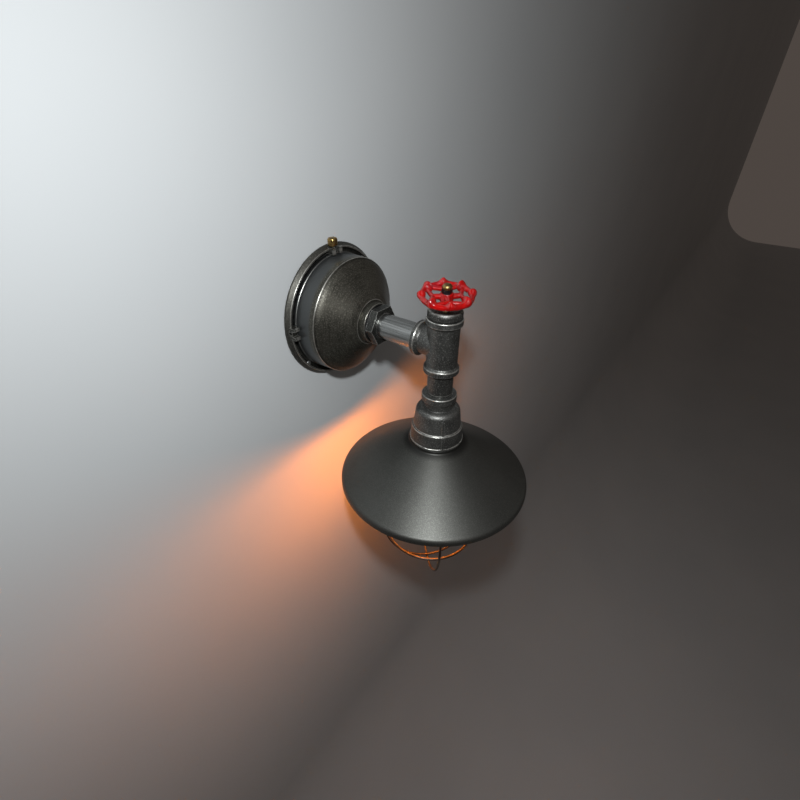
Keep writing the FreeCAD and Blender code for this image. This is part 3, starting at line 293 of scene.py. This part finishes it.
RUBBED_IRON = (0.66, 0.66, 0.62, 1)
RUBBED_IRON_ROUGHNESS = 0.22
CLOUD_CONTRAST = 1.7
BAND_EDGE = 17.9 * MM
BAND_FACE = 28.7 * MM
BAND_BACK = 23.5 * MM
BRANCH_BAND_BACK = 24.8 * MM
PLUG_TOP_EDGE = (16 * MM, 37 * MM)
PLUG_NECK = (15.2 * MM, 29.6 * MM)
NUT_FOOT = (20.6 * MM, 65.2 * MM)
NECK_BAND_TOP = (18.4 * MM, -54.9 * MM)
NECK_BAND_FOOT = (18.4 * MM, -61.8 * MM)
SHOULDER_EDGE = (26.1 * MM, -93.6 * MM)
SKIRT_TOP = (27.6 * MM, -94.9 * MM)
BEAD_TOP = (29.2 * MM, -109.7 * MM)
BEAD_FOOT = (29.3 * MM, -111.6 * MM)


def casting(name, dark, rims, corners=0.0, along_arm=False, gloss=0.4, side_rims=(), painted_shade=(),
            bright=0.3):
    """Cast iron skin: cloudy dark finish, grains rubbed bright, rubbed rims about its own pipe axis and
    the other one, corners if asked, and places darkened as painted shade. All rims are given as for
    rubbed_rims."""
    material, tree, shader, place = new_finish(name, Metallic=0.85, Roughness=0.42)
    cloud = between(tree, grain(tree, place, 60, detail=3.0), 0.3, 0.7)
    paler = [part * CLOUD_CONTRAST for part in dark[:3]] + [1]
    colour = blend_colour(tree, cloud, dark, paler)
    coarse = maths(tree, "MULTIPLY", grain(tree, place, 780, detail=3.0), 0.7)
    fine = maths(tree, "MULTIPLY", grain(tree, place, 2000), 0.3)
    sand = maths(tree, "ADD", coarse, fine)
    rubbed = between(tree, sand, 0.5, 0.66, 0.0, 0.65)
    grained = blend_colour(tree, rubbed, colour, (bright, bright, bright * 0.95, 1))
    # Painted shade: the given rims are darkened towards near-black.
    for shade_rim in painted_shade:
        spot = rubbed_rims(tree, place, not along_arm, [shade_rim])
        shade_mask = patchy(tree, place, spot, per_metre=320, keep=0.7)
        grained = blend_colour(tree, shade_mask, grained, SHADE_BLACK)
    mask = rubbed_rims(tree, place, not along_arm, rims)
    if side_rims:
        mask = maths(tree, "MAXIMUM", mask, rubbed_rims(tree, place, along_arm, side_rims))
    if corners:
        mask = maths(tree, "MAXIMUM", mask, rubbed_corners(tree, corners))
    mask = patchy(tree, place, mask, per_metre=380, keep=0.25)
    paint(tree, shader, blend_colour(tree, mask, grained, RUBBED_IRON))
    polish(tree, shader, between(tree, mask, 0.0, 1.0, gloss, RUBBED_IRON_ROUGHNESS))
    raise_bump(tree, shader, sand, strength=0.75, depth=0.3 * MM)
    return material


dress("tee", casting(
    "tee casting", dark=(0.058, 0.059, 0.056, 1),
    rims=[(BAND_EDGE, BAND_FACE, 1.1 * MM, 0.9), (BAND_EDGE, BAND_BACK, 0.9 * MM, 0.6),
          (BAND_EDGE, -BAND_FACE, 0.9 * MM, 0.7), (BAND_EDGE, -BAND_BACK, 1.1 * MM, 0.8)],
    corners=0.7 * MM, gloss=0.42,
    side_rims=[(BAND_EDGE, LAMP_REACH - BAND_FACE, 0.9 * MM, 0.7),
               (BAND_EDGE, LAMP_REACH - BRANCH_BAND_BACK, 1.1 * MM, 0.9)]))
# Painted shade: the plug's neck, in the recess under its top, is darkened.
dress("top_plug", casting(
    "plug casting", dark=(0.034, 0.034, 0.032, 1), rims=[(*PLUG_TOP_EDGE, 1.6 * MM, 0.5)],
    gloss=0.46, painted_shade=[(*PLUG_NECK, 1.6 * MM, 1.0)]))
dress("lock_nut_front", casting(
    "nut casting", dark=(0.032, 0.033, 0.031, 1), rims=[(*NUT_FOOT, 0.4 * MM, 0.5)],
    corners=1.1 * MM, along_arm=True, bright=0.2))
dress("reducer", casting(
    "reducer casting", dark=(0.064, 0.065, 0.062, 1),
    rims=[(*NECK_BAND_TOP, 1.0 * MM, 0.8), (*NECK_BAND_FOOT, 1.0 * MM, 0.8),
          (*SHOULDER_EDGE, 0.8 * MM, 0.6), (*SKIRT_TOP, 1.1 * MM, 0.9), (*BEAD_TOP, 0.9 * MM, 0.7),
          (*BEAD_FOOT, 1.0 * MM, 0.9)],
    corners=0.5 * MM, gloss=0.45))

# Pipes
# Cut lengths of steel pipe, screwed into the fittings. The arm is brushed along its length and
# bright under a thin dark glaze, and the drop pipe has the dark skin of the castings.

GLAZED_PIPE = (0.12, 0.125, 0.12, 1)
BRIGHT_PIPE = (0.34, 0.345, 0.34, 1)
DRAWN_GRAIN = (1, 0.015, 1)
DROP_SCRATCH = (13.35 * MM, -52.5 * MM)
arm_finish, tree, shader, place = new_finish("arm pipe", Metallic=0.95, Roughness=0.3)
scratch = grain(tree, place, 2200, stretch=DRAWN_GRAIN)
streak = grain(tree, place, 420, stretch=DRAWN_GRAIN)
half_scratch = maths(tree, "MULTIPLY", scratch, 0.5)
half_streak = maths(tree, "MULTIPLY", streak, 0.5)
mixed = maths(tree, "ADD", half_scratch, half_streak)
paint(tree, shader, blend_colour(tree, between(tree, mixed, 0.35, 0.65), GLAZED_PIPE, BRIGHT_PIPE))
polish(tree, shader, between(tree, mixed, 0.35, 0.65, 0.32, 0.2))
raise_bump(tree, shader, scratch, strength=0.15, depth=0.1 * MM)
dress("arm_nipple", arm_finish)
dress("drop_nipple", casting(
    "drop pipe", dark=(0.056, 0.056, 0.053, 1), rims=[(*DROP_SCRATCH, 0.8 * MM, 0.5)]))

# Handwheel
# A cast valve wheel in thick glossy red enamel: a ring with eight domed lobes and four forked spokes
# that swell into one another. It sits on the spindle's bent end and turns with it.

LEAN = math.radians(8)
LEAN_HEADING = math.radians(209.9)
WHEEL_PHASE = math.radians(220.3)
WHEEL_PIVOT = Vector((0, -LAMP_REACH, 43.4 * MM))
HUB_BASE = 45.9 * MM
HUB_HEIGHT = 8 * MM
HUB_RADIUS = 6.5 * MM
HUB_TAPER = 0.94
SPOKE_HEIGHT = HUB_BASE + HUB_HEIGHT / 2
SPOKES = 4
SPOKE_ROOT = 3.5 * MM
SPOKE_ROOT_THICK = 3.1 * MM
KNUCKLE_PLACE = 13.2 * MM
KNUCKLE_LIFT = 0.5 * MM
KNUCKLE_THICK = 2.5 * MM
FORK_THICK = 2.35 * MM
FORK_TIP_THICK = 2.2 * MM
FORK_TIP = (16.8 * MM, 13.4 * MM)
RIM_LIFT = 1 * MM
RIM_HEIGHT = SPOKE_HEIGHT + RIM_LIFT
RIM_PATH = 23.3 * MM
RIM_THICK = 2.8 * MM
LOBE_SPREAD = math.radians(7.5)
SPOKE_LOBE_OUT = 0.4 * MM
SPOKE_LOBE_RISE = 2.1 * MM
SPOKE_LOBE_SWELL = 1.5 * MM
FORK_LOBE_IN = 1.4 * MM
FORK_LOBE_RISE = 1.5 * MM
FORK_LOBE_SWELL = 2.8 * MM
RIM_STEPS = 192
SECTION_STEPS = 20
BAR_STEPS = 28
HUB_STEPS = 40
BALL_DIVISIONS = 3
CASTING_VOXEL = 0.42 * MM
THICK_RED = (0.20, 0.001, 0.0015, 1)
THIN_RED = (0.31, 0.002, 0.002, 1)
# The deep red below is for enamel pooled thick in the hollows, and painted shade there.
HOLLOW_SHADE_RED = (0.055, 0.001, 0.0015, 1)


def lobe_share(turn, middle):
    """How much of a lobe is felt at a heading on the ring, from 1 at its middle to 0."""
    apart = math.remainder(turn - middle, 2 * math.pi)
    return math.exp(-(apart / LOBE_SPREAD) ** 2)


def ring_section(turn):
    """The ring's path radius, height and thickness at a heading."""
    path, height, thick = RIM_PATH, RIM_HEIGHT, RIM_THICK
    for number in range(SPOKES):
        at_spoke = lobe_share(turn, 2 * math.pi * number / SPOKES)
        at_fork = lobe_share(turn, 2 * math.pi * (number + 0.5) / SPOKES)
        path += SPOKE_LOBE_OUT * at_spoke - FORK_LOBE_IN * at_fork
        height += SPOKE_LOBE_RISE * at_spoke + FORK_LOBE_RISE * at_fork
        thick += SPOKE_LOBE_SWELL * at_spoke + FORK_LOBE_SWELL * at_fork
    return path, height, thick


def add_ring(casting_mesh):
    """The lobed ring as one closed tube."""
    loops = []
    for step in range(RIM_STEPS):
        turn = 2 * math.pi * step / RIM_STEPS
        path, height, thick = ring_section(turn)
        loop = []
        for part in range(SECTION_STEPS):
            angle = 2 * math.pi * part / SECTION_STEPS
            out = path + thick * math.cos(angle)
            spot = (out * math.cos(turn), out * math.sin(turn), height + thick * math.sin(angle))
            loop.append(casting_mesh.verts.new(spot))
        loops.append(loop)
    for step, loop in enumerate(loops):
        following = loops[(step + 1) % RIM_STEPS]
        for part in range(SECTION_STEPS):
            beyond = (part + 1) % SECTION_STEPS
            casting_mesh.faces.new((loop[part], following[part], following[beyond], loop[beyond]))


def add_bar(casting_mesh, start, end, first, last):
    """A round bar from one point to another with a radius at each, and rounded ends."""
    reach = end - start
    aim = reach.to_track_quat("Z", "Y").to_matrix().to_4x4()
    middle = Matrix.Translation((start + end) / 2) @ aim
    bmesh.ops.create_cone(casting_mesh, cap_ends=True, segments=BAR_STEPS, radius1=first, radius2=last,
                          depth=reach.length, matrix=middle)
    for centre, radius in ((start, first), (end, last)):
        bmesh.ops.create_icosphere(casting_mesh, subdivisions=BALL_DIVISIONS, radius=radius,
                                   matrix=Matrix.Translation(centre))


wheel_casting = bmesh.new()
add_ring(wheel_casting)
bmesh.ops.create_cone(wheel_casting, cap_ends=True, segments=HUB_STEPS, radius1=HUB_RADIUS,
                      radius2=HUB_RADIUS * HUB_TAPER, depth=HUB_HEIGHT,
                      matrix=Matrix.Translation((0, 0, SPOKE_HEIGHT)))
for number in range(SPOKES):
    heading = Matrix.Rotation(2 * math.pi * number / SPOKES, 4, "Z")
    root = heading @ Vector((SPOKE_ROOT, 0, SPOKE_HEIGHT))
    knuckle = heading @ Vector((KNUCKLE_PLACE, 0, SPOKE_HEIGHT + KNUCKLE_LIFT))
    add_bar(wheel_casting, root, knuckle, SPOKE_ROOT_THICK, KNUCKLE_THICK)
    for side in (-1, 1):
        fork_tip = heading @ Vector((FORK_TIP[0], side * FORK_TIP[1], RIM_HEIGHT))
        add_bar(wheel_casting, knuckle, fork_tip, FORK_THICK, FORK_TIP_THICK)
lean_axis = Vector((math.sin(LEAN) * math.cos(LEAN_HEADING), math.sin(LEAN) * math.sin(LEAN_HEADING),
                    math.cos(LEAN)))
lean = Vector((0, 0, 1)).rotation_difference(lean_axis).to_matrix().to_4x4()
bend = Matrix.Translation(WHEEL_PIVOT) @ lean @ Matrix.Translation((0, 0, -WHEEL_PIVOT.z))
seat = bend @ Matrix.Rotation(WHEEL_PHASE, 4, "Z")
bmesh.ops.transform(wheel_casting, matrix=seat, verts=wheel_casting.verts)
rough_mesh = bpy.data.meshes.new("wheel rough casting")
wheel_casting.to_mesh(rough_mesh)
wheel_casting.free()
handwheel = bpy.data.objects.new("red_handwheel", rough_mesh)
bpy.context.collection.objects.link(handwheel)
fuse = handwheel.modifiers.new("fuse", "REMESH")
fuse.mode = "VOXEL"
fuse.voxel_size = CASTING_VOXEL
melt = handwheel.modifiers.new("melt", "SMOOTH")
melt.factor = 0.5
melt.iterations = 3
solid_wheel = handwheel.evaluated_get(bpy.context.evaluated_depsgraph_get())
handwheel.data = bpy.data.meshes.new_from_object(solid_wheel)
handwheel.modifiers.clear()
for face in handwheel.data.polygons:
    face.use_smooth = True

enamel, tree, shader, place = new_finish("red enamel", Metallic=0.0, Roughness=0.14, IOR=1.5,
                                         Coat_Weight=0.6, Coat_Roughness=0.05)
pool = between(tree, grain(tree, place, 140, detail=3.0), 0.3, 0.7)
enamel_red = blend_colour(tree, pool, THICK_RED, THIN_RED)
# Darker in the hollows: enamel pooled thick there, and painted shade.
hollow_shade = between(tree, add_node(tree, "NewGeometry").outputs["Pointiness"], 0.44, 0.5, 1.0, 0.0)
paint(tree, shader, blend_colour(tree, hollow_shade, enamel_red, HOLLOW_SHADE_RED))
raise_bump(tree, shader, grain(tree, place, 300), strength=0.1, depth=0.3 * MM)
handwheel.data.materials.append(enamel)
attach(handwheel, "wheel")
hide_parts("handwheel")
dress("handwheel", enamel)

# Lampholder
# A body moulded from a dark insulating material with a glazed contact disc in it. The switch body
# is the same moulding, and the terminal block behind the cover has the disc's glaze.

DARK_MOULDING = (0.018, 0.015, 0.012, 1)
BROWN_MOULDING = (0.04, 0.032, 0.026, 1)
CREAM_GLAZE = (0.74, 0.72, 0.67, 1)
WHITE_GLAZE = (0.84, 0.83, 0.79, 1)
moulding, tree, shader, place = new_finish("moulded insulator", Roughness=0.5)
flow = between(tree, grain(tree, place, 90, detail=4.0), 0.3, 0.7)
paint(tree, shader, blend_colour(tree, flow, DARK_MOULDING, BROWN_MOULDING))
raise_bump(tree, shader, grain(tree, place, 1300), strength=0.2, depth=0.1 * MM)
for node in ("lampholder_body", "switch_body"):
    dress(node, moulding)

glaze, tree, shader, place = new_finish("white glaze", Roughness=0.25)
craze = between(tree, grain(tree, place, 120, detail=3.0), 0.3, 0.7)
paint(tree, shader, blend_colour(tree, craze, CREAM_GLAZE, WHITE_GLAZE))
raise_bump(tree, shader, grain(tree, place, 300), strength=0.1, depth=0.1 * MM)
for node in ("contact_disc", "terminal_block"):
    dress(node, glaze)

# Wiring
# Single-core wires in soft insulation, from the terminal block through the pipes to the switch and
# the lampholder: black for the live and the switched wire, white for the neutral.

BLACK_SHEATH = ((0.012, 0.012, 0.012, 1), (0.03, 0.03, 0.03, 1))
WHITE_SHEATH = ((0.62, 0.62, 0.58, 1), (0.78, 0.78, 0.74, 1))
for node, (dirty, clean) in (("wire_live", BLACK_SHEATH), ("wire_switched", BLACK_SHEATH),
                             ("wire_neutral", WHITE_SHEATH)):
    sheath, tree, shader, place = new_finish(node + " sheath", Roughness=0.45)
    handled = between(tree, grain(tree, place, 400, detail=3.0), 0.3, 0.7)
    paint(tree, shader, blend_colour(tree, handled, dirty, clean))
    raise_bump(tree, shader, grain(tree, place, 1500), strength=0.15, depth=0.1 * MM)
    dress(node, sheath)

# Lamp
# A pear-shaped glass lamp, lit, with a screw cap, a glass stem and a ring of hot filament. The glow
# stands for its light, which falls out of the open shade on to the wall.

AMBER_GLASS = (1.0, 0.80, 0.50, 1)
PALE_AMBER_GLASS = (1.0, 0.86, 0.62, 1)
GLASS_GLOW = (1.0, 0.42, 0.12, 1)
HOT_ORANGE = (1.0, 0.55, 0.2, 1)
HOT_YELLOW = (1.0, 0.7, 0.35, 1)
STEM_AMBER = (0.85, 0.75, 0.6, 1)
STEM_PALE = (0.95, 0.9, 0.8, 1)
GLOW_COLOUR = (1.0, 0.26, 0.03)
GLOW_PLACE = (0, -LAMP_REACH, -189 * MM)
GLOW_RADIUS = 42 * MM
GLOW_WATTS = 2.0
lit_glass, tree, shader, place = new_finish("lit glass", Roughness=0.08, IOR=1.45,
                                            Transmission_Weight=0.97, Emission_Color=GLASS_GLOW,
                                            Emission_Strength=1.1)
haze = between(tree, grain(tree, place, 70), 0.3, 0.7)
paint(tree, shader, blend_colour(tree, haze, AMBER_GLASS, PALE_AMBER_GLASS))
glass = dress("lamp_glass", lit_glass)
glass.visible_shadow = False

hot_wire, tree, shader, place = new_finish("hot filament", Roughness=0.4, Emission_Strength=4.0)
flicker = between(tree, grain(tree, place, 500), 0.3, 0.7)
heat = blend_colour(tree, flicker, HOT_ORANGE, HOT_YELLOW)
tree.links.new(heat, shader.inputs["Emission Color"])
dress("lamp_filament", hot_wire)

stem_glass, tree, shader, place = new_finish("stem glass", Roughness=0.1, IOR=1.5,
                                             Transmission_Weight=0.9)
seed = between(tree, grain(tree, place, 300), 0.3, 0.7)
paint(tree, shader, blend_colour(tree, seed, STEM_AMBER, STEM_PALE))
stem = dress("lamp_stem", stem_glass)
stem.visible_shadow = False

glow = bpy.data.lights.new("lamp glow", "POINT")
glow.energy = GLOW_WATTS
glow.color = GLOW_COLOUR
glow.shadow_soft_size = GLOW_RADIUS
glow_holder = bpy.data.objects.new("lamp glow", glow)
glow_holder.location = GLOW_PLACE
bpy.context.collection.objects.link(glow_holder)

# Shade
# A spun sheet-steel cone in a fine dark satin texture coat, open below. It is clamped to the
# lampholder from inside, and painted darker round its neck as shade under the reducer.

COAT_DARK = (0.052, 0.053, 0.049, 1)
COAT_PALE = (0.068, 0.069, 0.064, 1)
COAT_SPECK = (0.125, 0.128, 0.118, 1)
NECK_SHADE_BLACK = (0.015, 0.015, 0.014, 1)
NECK_SHADE_INNER = 31.5 * MM
NECK_SHADE_OUTER = 39 * MM
texture_coat, tree, shader, place = new_finish("texture coat", Metallic=0.85, Roughness=0.4)
cloud = between(tree, grain(tree, place, 16, detail=3.0), 0.3, 0.7)
speck = between(tree, grain(tree, place, 1700, detail=1.0), 0.45, 0.75, 0.0, 0.7)
base = blend_colour(tree, cloud, COAT_DARK, COAT_PALE)
specked = blend_colour(tree, speck, base, COAT_SPECK)
from_axis = about_pipe(tree, place, True)[0]
# Painted shade: darker round the neck, under the reducer's bead.
neck_shade = between(tree, from_axis, NECK_SHADE_INNER, NECK_SHADE_OUTER, 0.8, 0.0)
paint(tree, shader, blend_colour(tree, neck_shade, specked, NECK_SHADE_BLACK))
polish(tree, shader, between(tree, cloud, 0.0, 1.0, 0.46, 0.42))
raise_bump(tree, shader, grain(tree, place, 1300), strength=0.3, depth=0.16 * MM)
dress("shade", texture_coat)

# Cage
# Two bent steel wires, a ring and a flat collar welded together and coated dark brown, and the ring
# nut that clamps them and the shade to the lampholder.

WIRE_BROWN = (0.05, 0.04, 0.032, 1)
WIRE_PALE = (0.10, 0.08, 0.062, 1)
wire_coat, tree, shader, place = new_finish("wire coat", Metallic=0.6, Roughness=0.38)
run = between(tree, grain(tree, place, 240, detail=3.0), 0.3, 0.7)
paint(tree, shader, blend_colour(tree, run, WIRE_BROWN, WIRE_PALE))
raise_bump(tree, shader, grain(tree, place, 1200), strength=0.25, depth=0.1 * MM)
for node in ("cage_wire_lower", "cage_wire_upper", "cage_ring", "cage_collar", "cage_ring_nut"):
    dress(node, wire_coat)

# Wall and floor
# A plain pale wall that runs down into a pale floor in one soft sweep. It stands a hair behind the
# mounting plate, shows only from the front and throws no shadow, so the back can be seen and lit.

SWEEP_HALF = 8.0
WALL_TOP = 2.6
FLOOR = -1.4
SWEEP_RADIUS = 0.5
SWEEP_STEPS = 16
WALL_GAP = 0.4 * MM
PLASTER_DARK = (0.41, 0.43, 0.44, 1)
PLASTER_PALE = (0.44, 0.458, 0.465, 1)
sweep_line = [(WALL_GAP, WALL_TOP)]
for step in range(SWEEP_STEPS + 1):
    angle = math.pi / 2 * step / SWEEP_STEPS
    forward = WALL_GAP + SWEEP_RADIUS * (math.cos(angle) - 1)
    height = FLOOR + SWEEP_RADIUS * (1 - math.sin(angle))
    sweep_line.append((forward, height))
sweep_line.append((-SWEEP_HALF, FLOOR))
sweep_points = [(side * SWEEP_HALF, y, z) for y, z in sweep_line for side in (-1, 1)]
sweep_faces = [(2 * i, 2 * i + 2, 2 * i + 3, 2 * i + 1) for i in range(len(sweep_line) - 1)]
sweep_mesh = bpy.data.meshes.new("wall and floor")
sweep_mesh.from_pydata(sweep_points, [], sweep_faces)
for face in sweep_mesh.polygons:
    face.use_smooth = True
backdrop = bpy.data.objects.new("wall and floor", sweep_mesh)
bpy.context.collection.objects.link(backdrop)
plaster, tree, shader, place = new_finish("painted plaster", Roughness=0.65)
cloud = between(tree, grain(tree, place, 3), 0.2, 0.8)
paint(tree, shader, blend_colour(tree, cloud, PLASTER_DARK, PLASTER_PALE))
raise_bump(tree, shader, grain(tree, place, 120, detail=3.0), strength=0.06, depth=0.5 * MM)
clear = add_node(tree, "BsdfTransparent")
behind = add_node(tree, "NewGeometry").outputs["Backfacing"]
pick = add_node(tree, "MixShader", s0=behind, s1=shader.outputs[0], s2=clear.outputs[0])
tree.links.new(pick.outputs[0], tree.nodes["Material Output"].inputs[0])
backdrop.data.materials.append(plaster)
backdrop.visible_shadow = False

# Lights
# A small key light just above the camera throws the lamp's shadow on the wall. A soft window,
# ceiling and fill open it up, and the light behind the wall reaches the lamp's back only.

ROOM_COLOUR = (0.98, 0.80, 0.70, 1)
ROOM_STRENGTH = 0.075
world = bpy.data.worlds.new("room")
world.use_nodes = True
room = world.node_tree.nodes["Background"]
room.inputs["Color"].default_value = ROOM_COLOUR
room.inputs["Strength"].default_value = ROOM_STRENGTH
bpy.context.scene.world = world


def soft_light(name, position, target, width, watts, colour):
    """A square studio lamp aimed at a point."""
    light = bpy.data.lights.new(name, "AREA")
    light.size = width
    light.energy = watts
    light.color = colour
    holder = bpy.data.objects.new(name, light)
    holder.location = position
    aim = Vector(target) - Vector(position)
    holder.rotation_euler = aim.to_track_quat("-Z", "Y").to_euler()
    bpy.context.collection.objects.link(holder)


soft_light("key", position=(-0.355, -0.345, 0.315), target=(0.42, 0, -0.35), width=0.032, watts=4.0,
           colour=(0.97, 0.99, 1))
soft_light("window", position=(-0.45, -1.05, 0.32), target=(0, -0.12, -0.03), width=0.5, watts=0.5,
           colour=(1, 0.98, 0.95))
soft_light("ceiling", position=(-0.22, -0.52, 0.95), target=(0, -0.12, -0.08), width=0.6, watts=0.5,
           colour=(0.98, 0.99, 1))
soft_light("behind", position=(0.35, 1.1, 0.5), target=(0, -0.1, -0.1), width=0.6, watts=1.6,
           colour=(1, 0.98, 0.95))
soft_light("fill", position=(0.9, -1.0, 0.2), target=(0, -0.12, -0.1), width=0.8, watts=0.18,
           colour=(1, 0.97, 0.93))

# Camera
# It stands where the photograph was taken from: in front of the wall, to the left of the lamp and
# above it, looking down. The lens is given by its focal length in pixels of the square picture.

CAMERA_AZIMUTH = math.radians(-54.3)
CAMERA_ELEVATION = math.radians(33.23)
CAMERA_ROLL = math.radians(1.19)
CAMERA_DISTANCE = 0.5931
CAMERA_TARGET = Vector((0.04773, -0.06201, -0.12385))
SENSOR = 36.0
FOCAL_PIXELS = 458.4
FRAME_PIXELS = 800
NEAREST = 0.01
back = Vector((math.sin(CAMERA_AZIMUTH) * math.cos(CAMERA_ELEVATION),
               -math.cos(CAMERA_AZIMUTH) * math.cos(CAMERA_ELEVATION), math.sin(CAMERA_ELEVATION)))
right = (-back).cross(Vector((0, 0, 1))).normalized()
up = right.cross(-back)
turned_right = right * math.cos(CAMERA_ROLL) + up * math.sin(CAMERA_ROLL)
turned_up = up * math.cos(CAMERA_ROLL) - right * math.sin(CAMERA_ROLL)
lens = bpy.data.cameras.new("camera")
lens.sensor_width = SENSOR
lens.lens = SENSOR * FOCAL_PIXELS / FRAME_PIXELS
lens.clip_start = NEAREST
camera = bpy.data.objects.new("camera", lens)
spin = Matrix((turned_right, turned_up, back)).transposed()
camera.matrix_world = Matrix.Translation(CAMERA_TARGET + back * CAMERA_DISTANCE) @ spin.to_4x4()
bpy.context.collection.objects.link(camera)
bpy.context.scene.camera = camera
bpy.context.scene.view_settings.view_transform = "Standard"
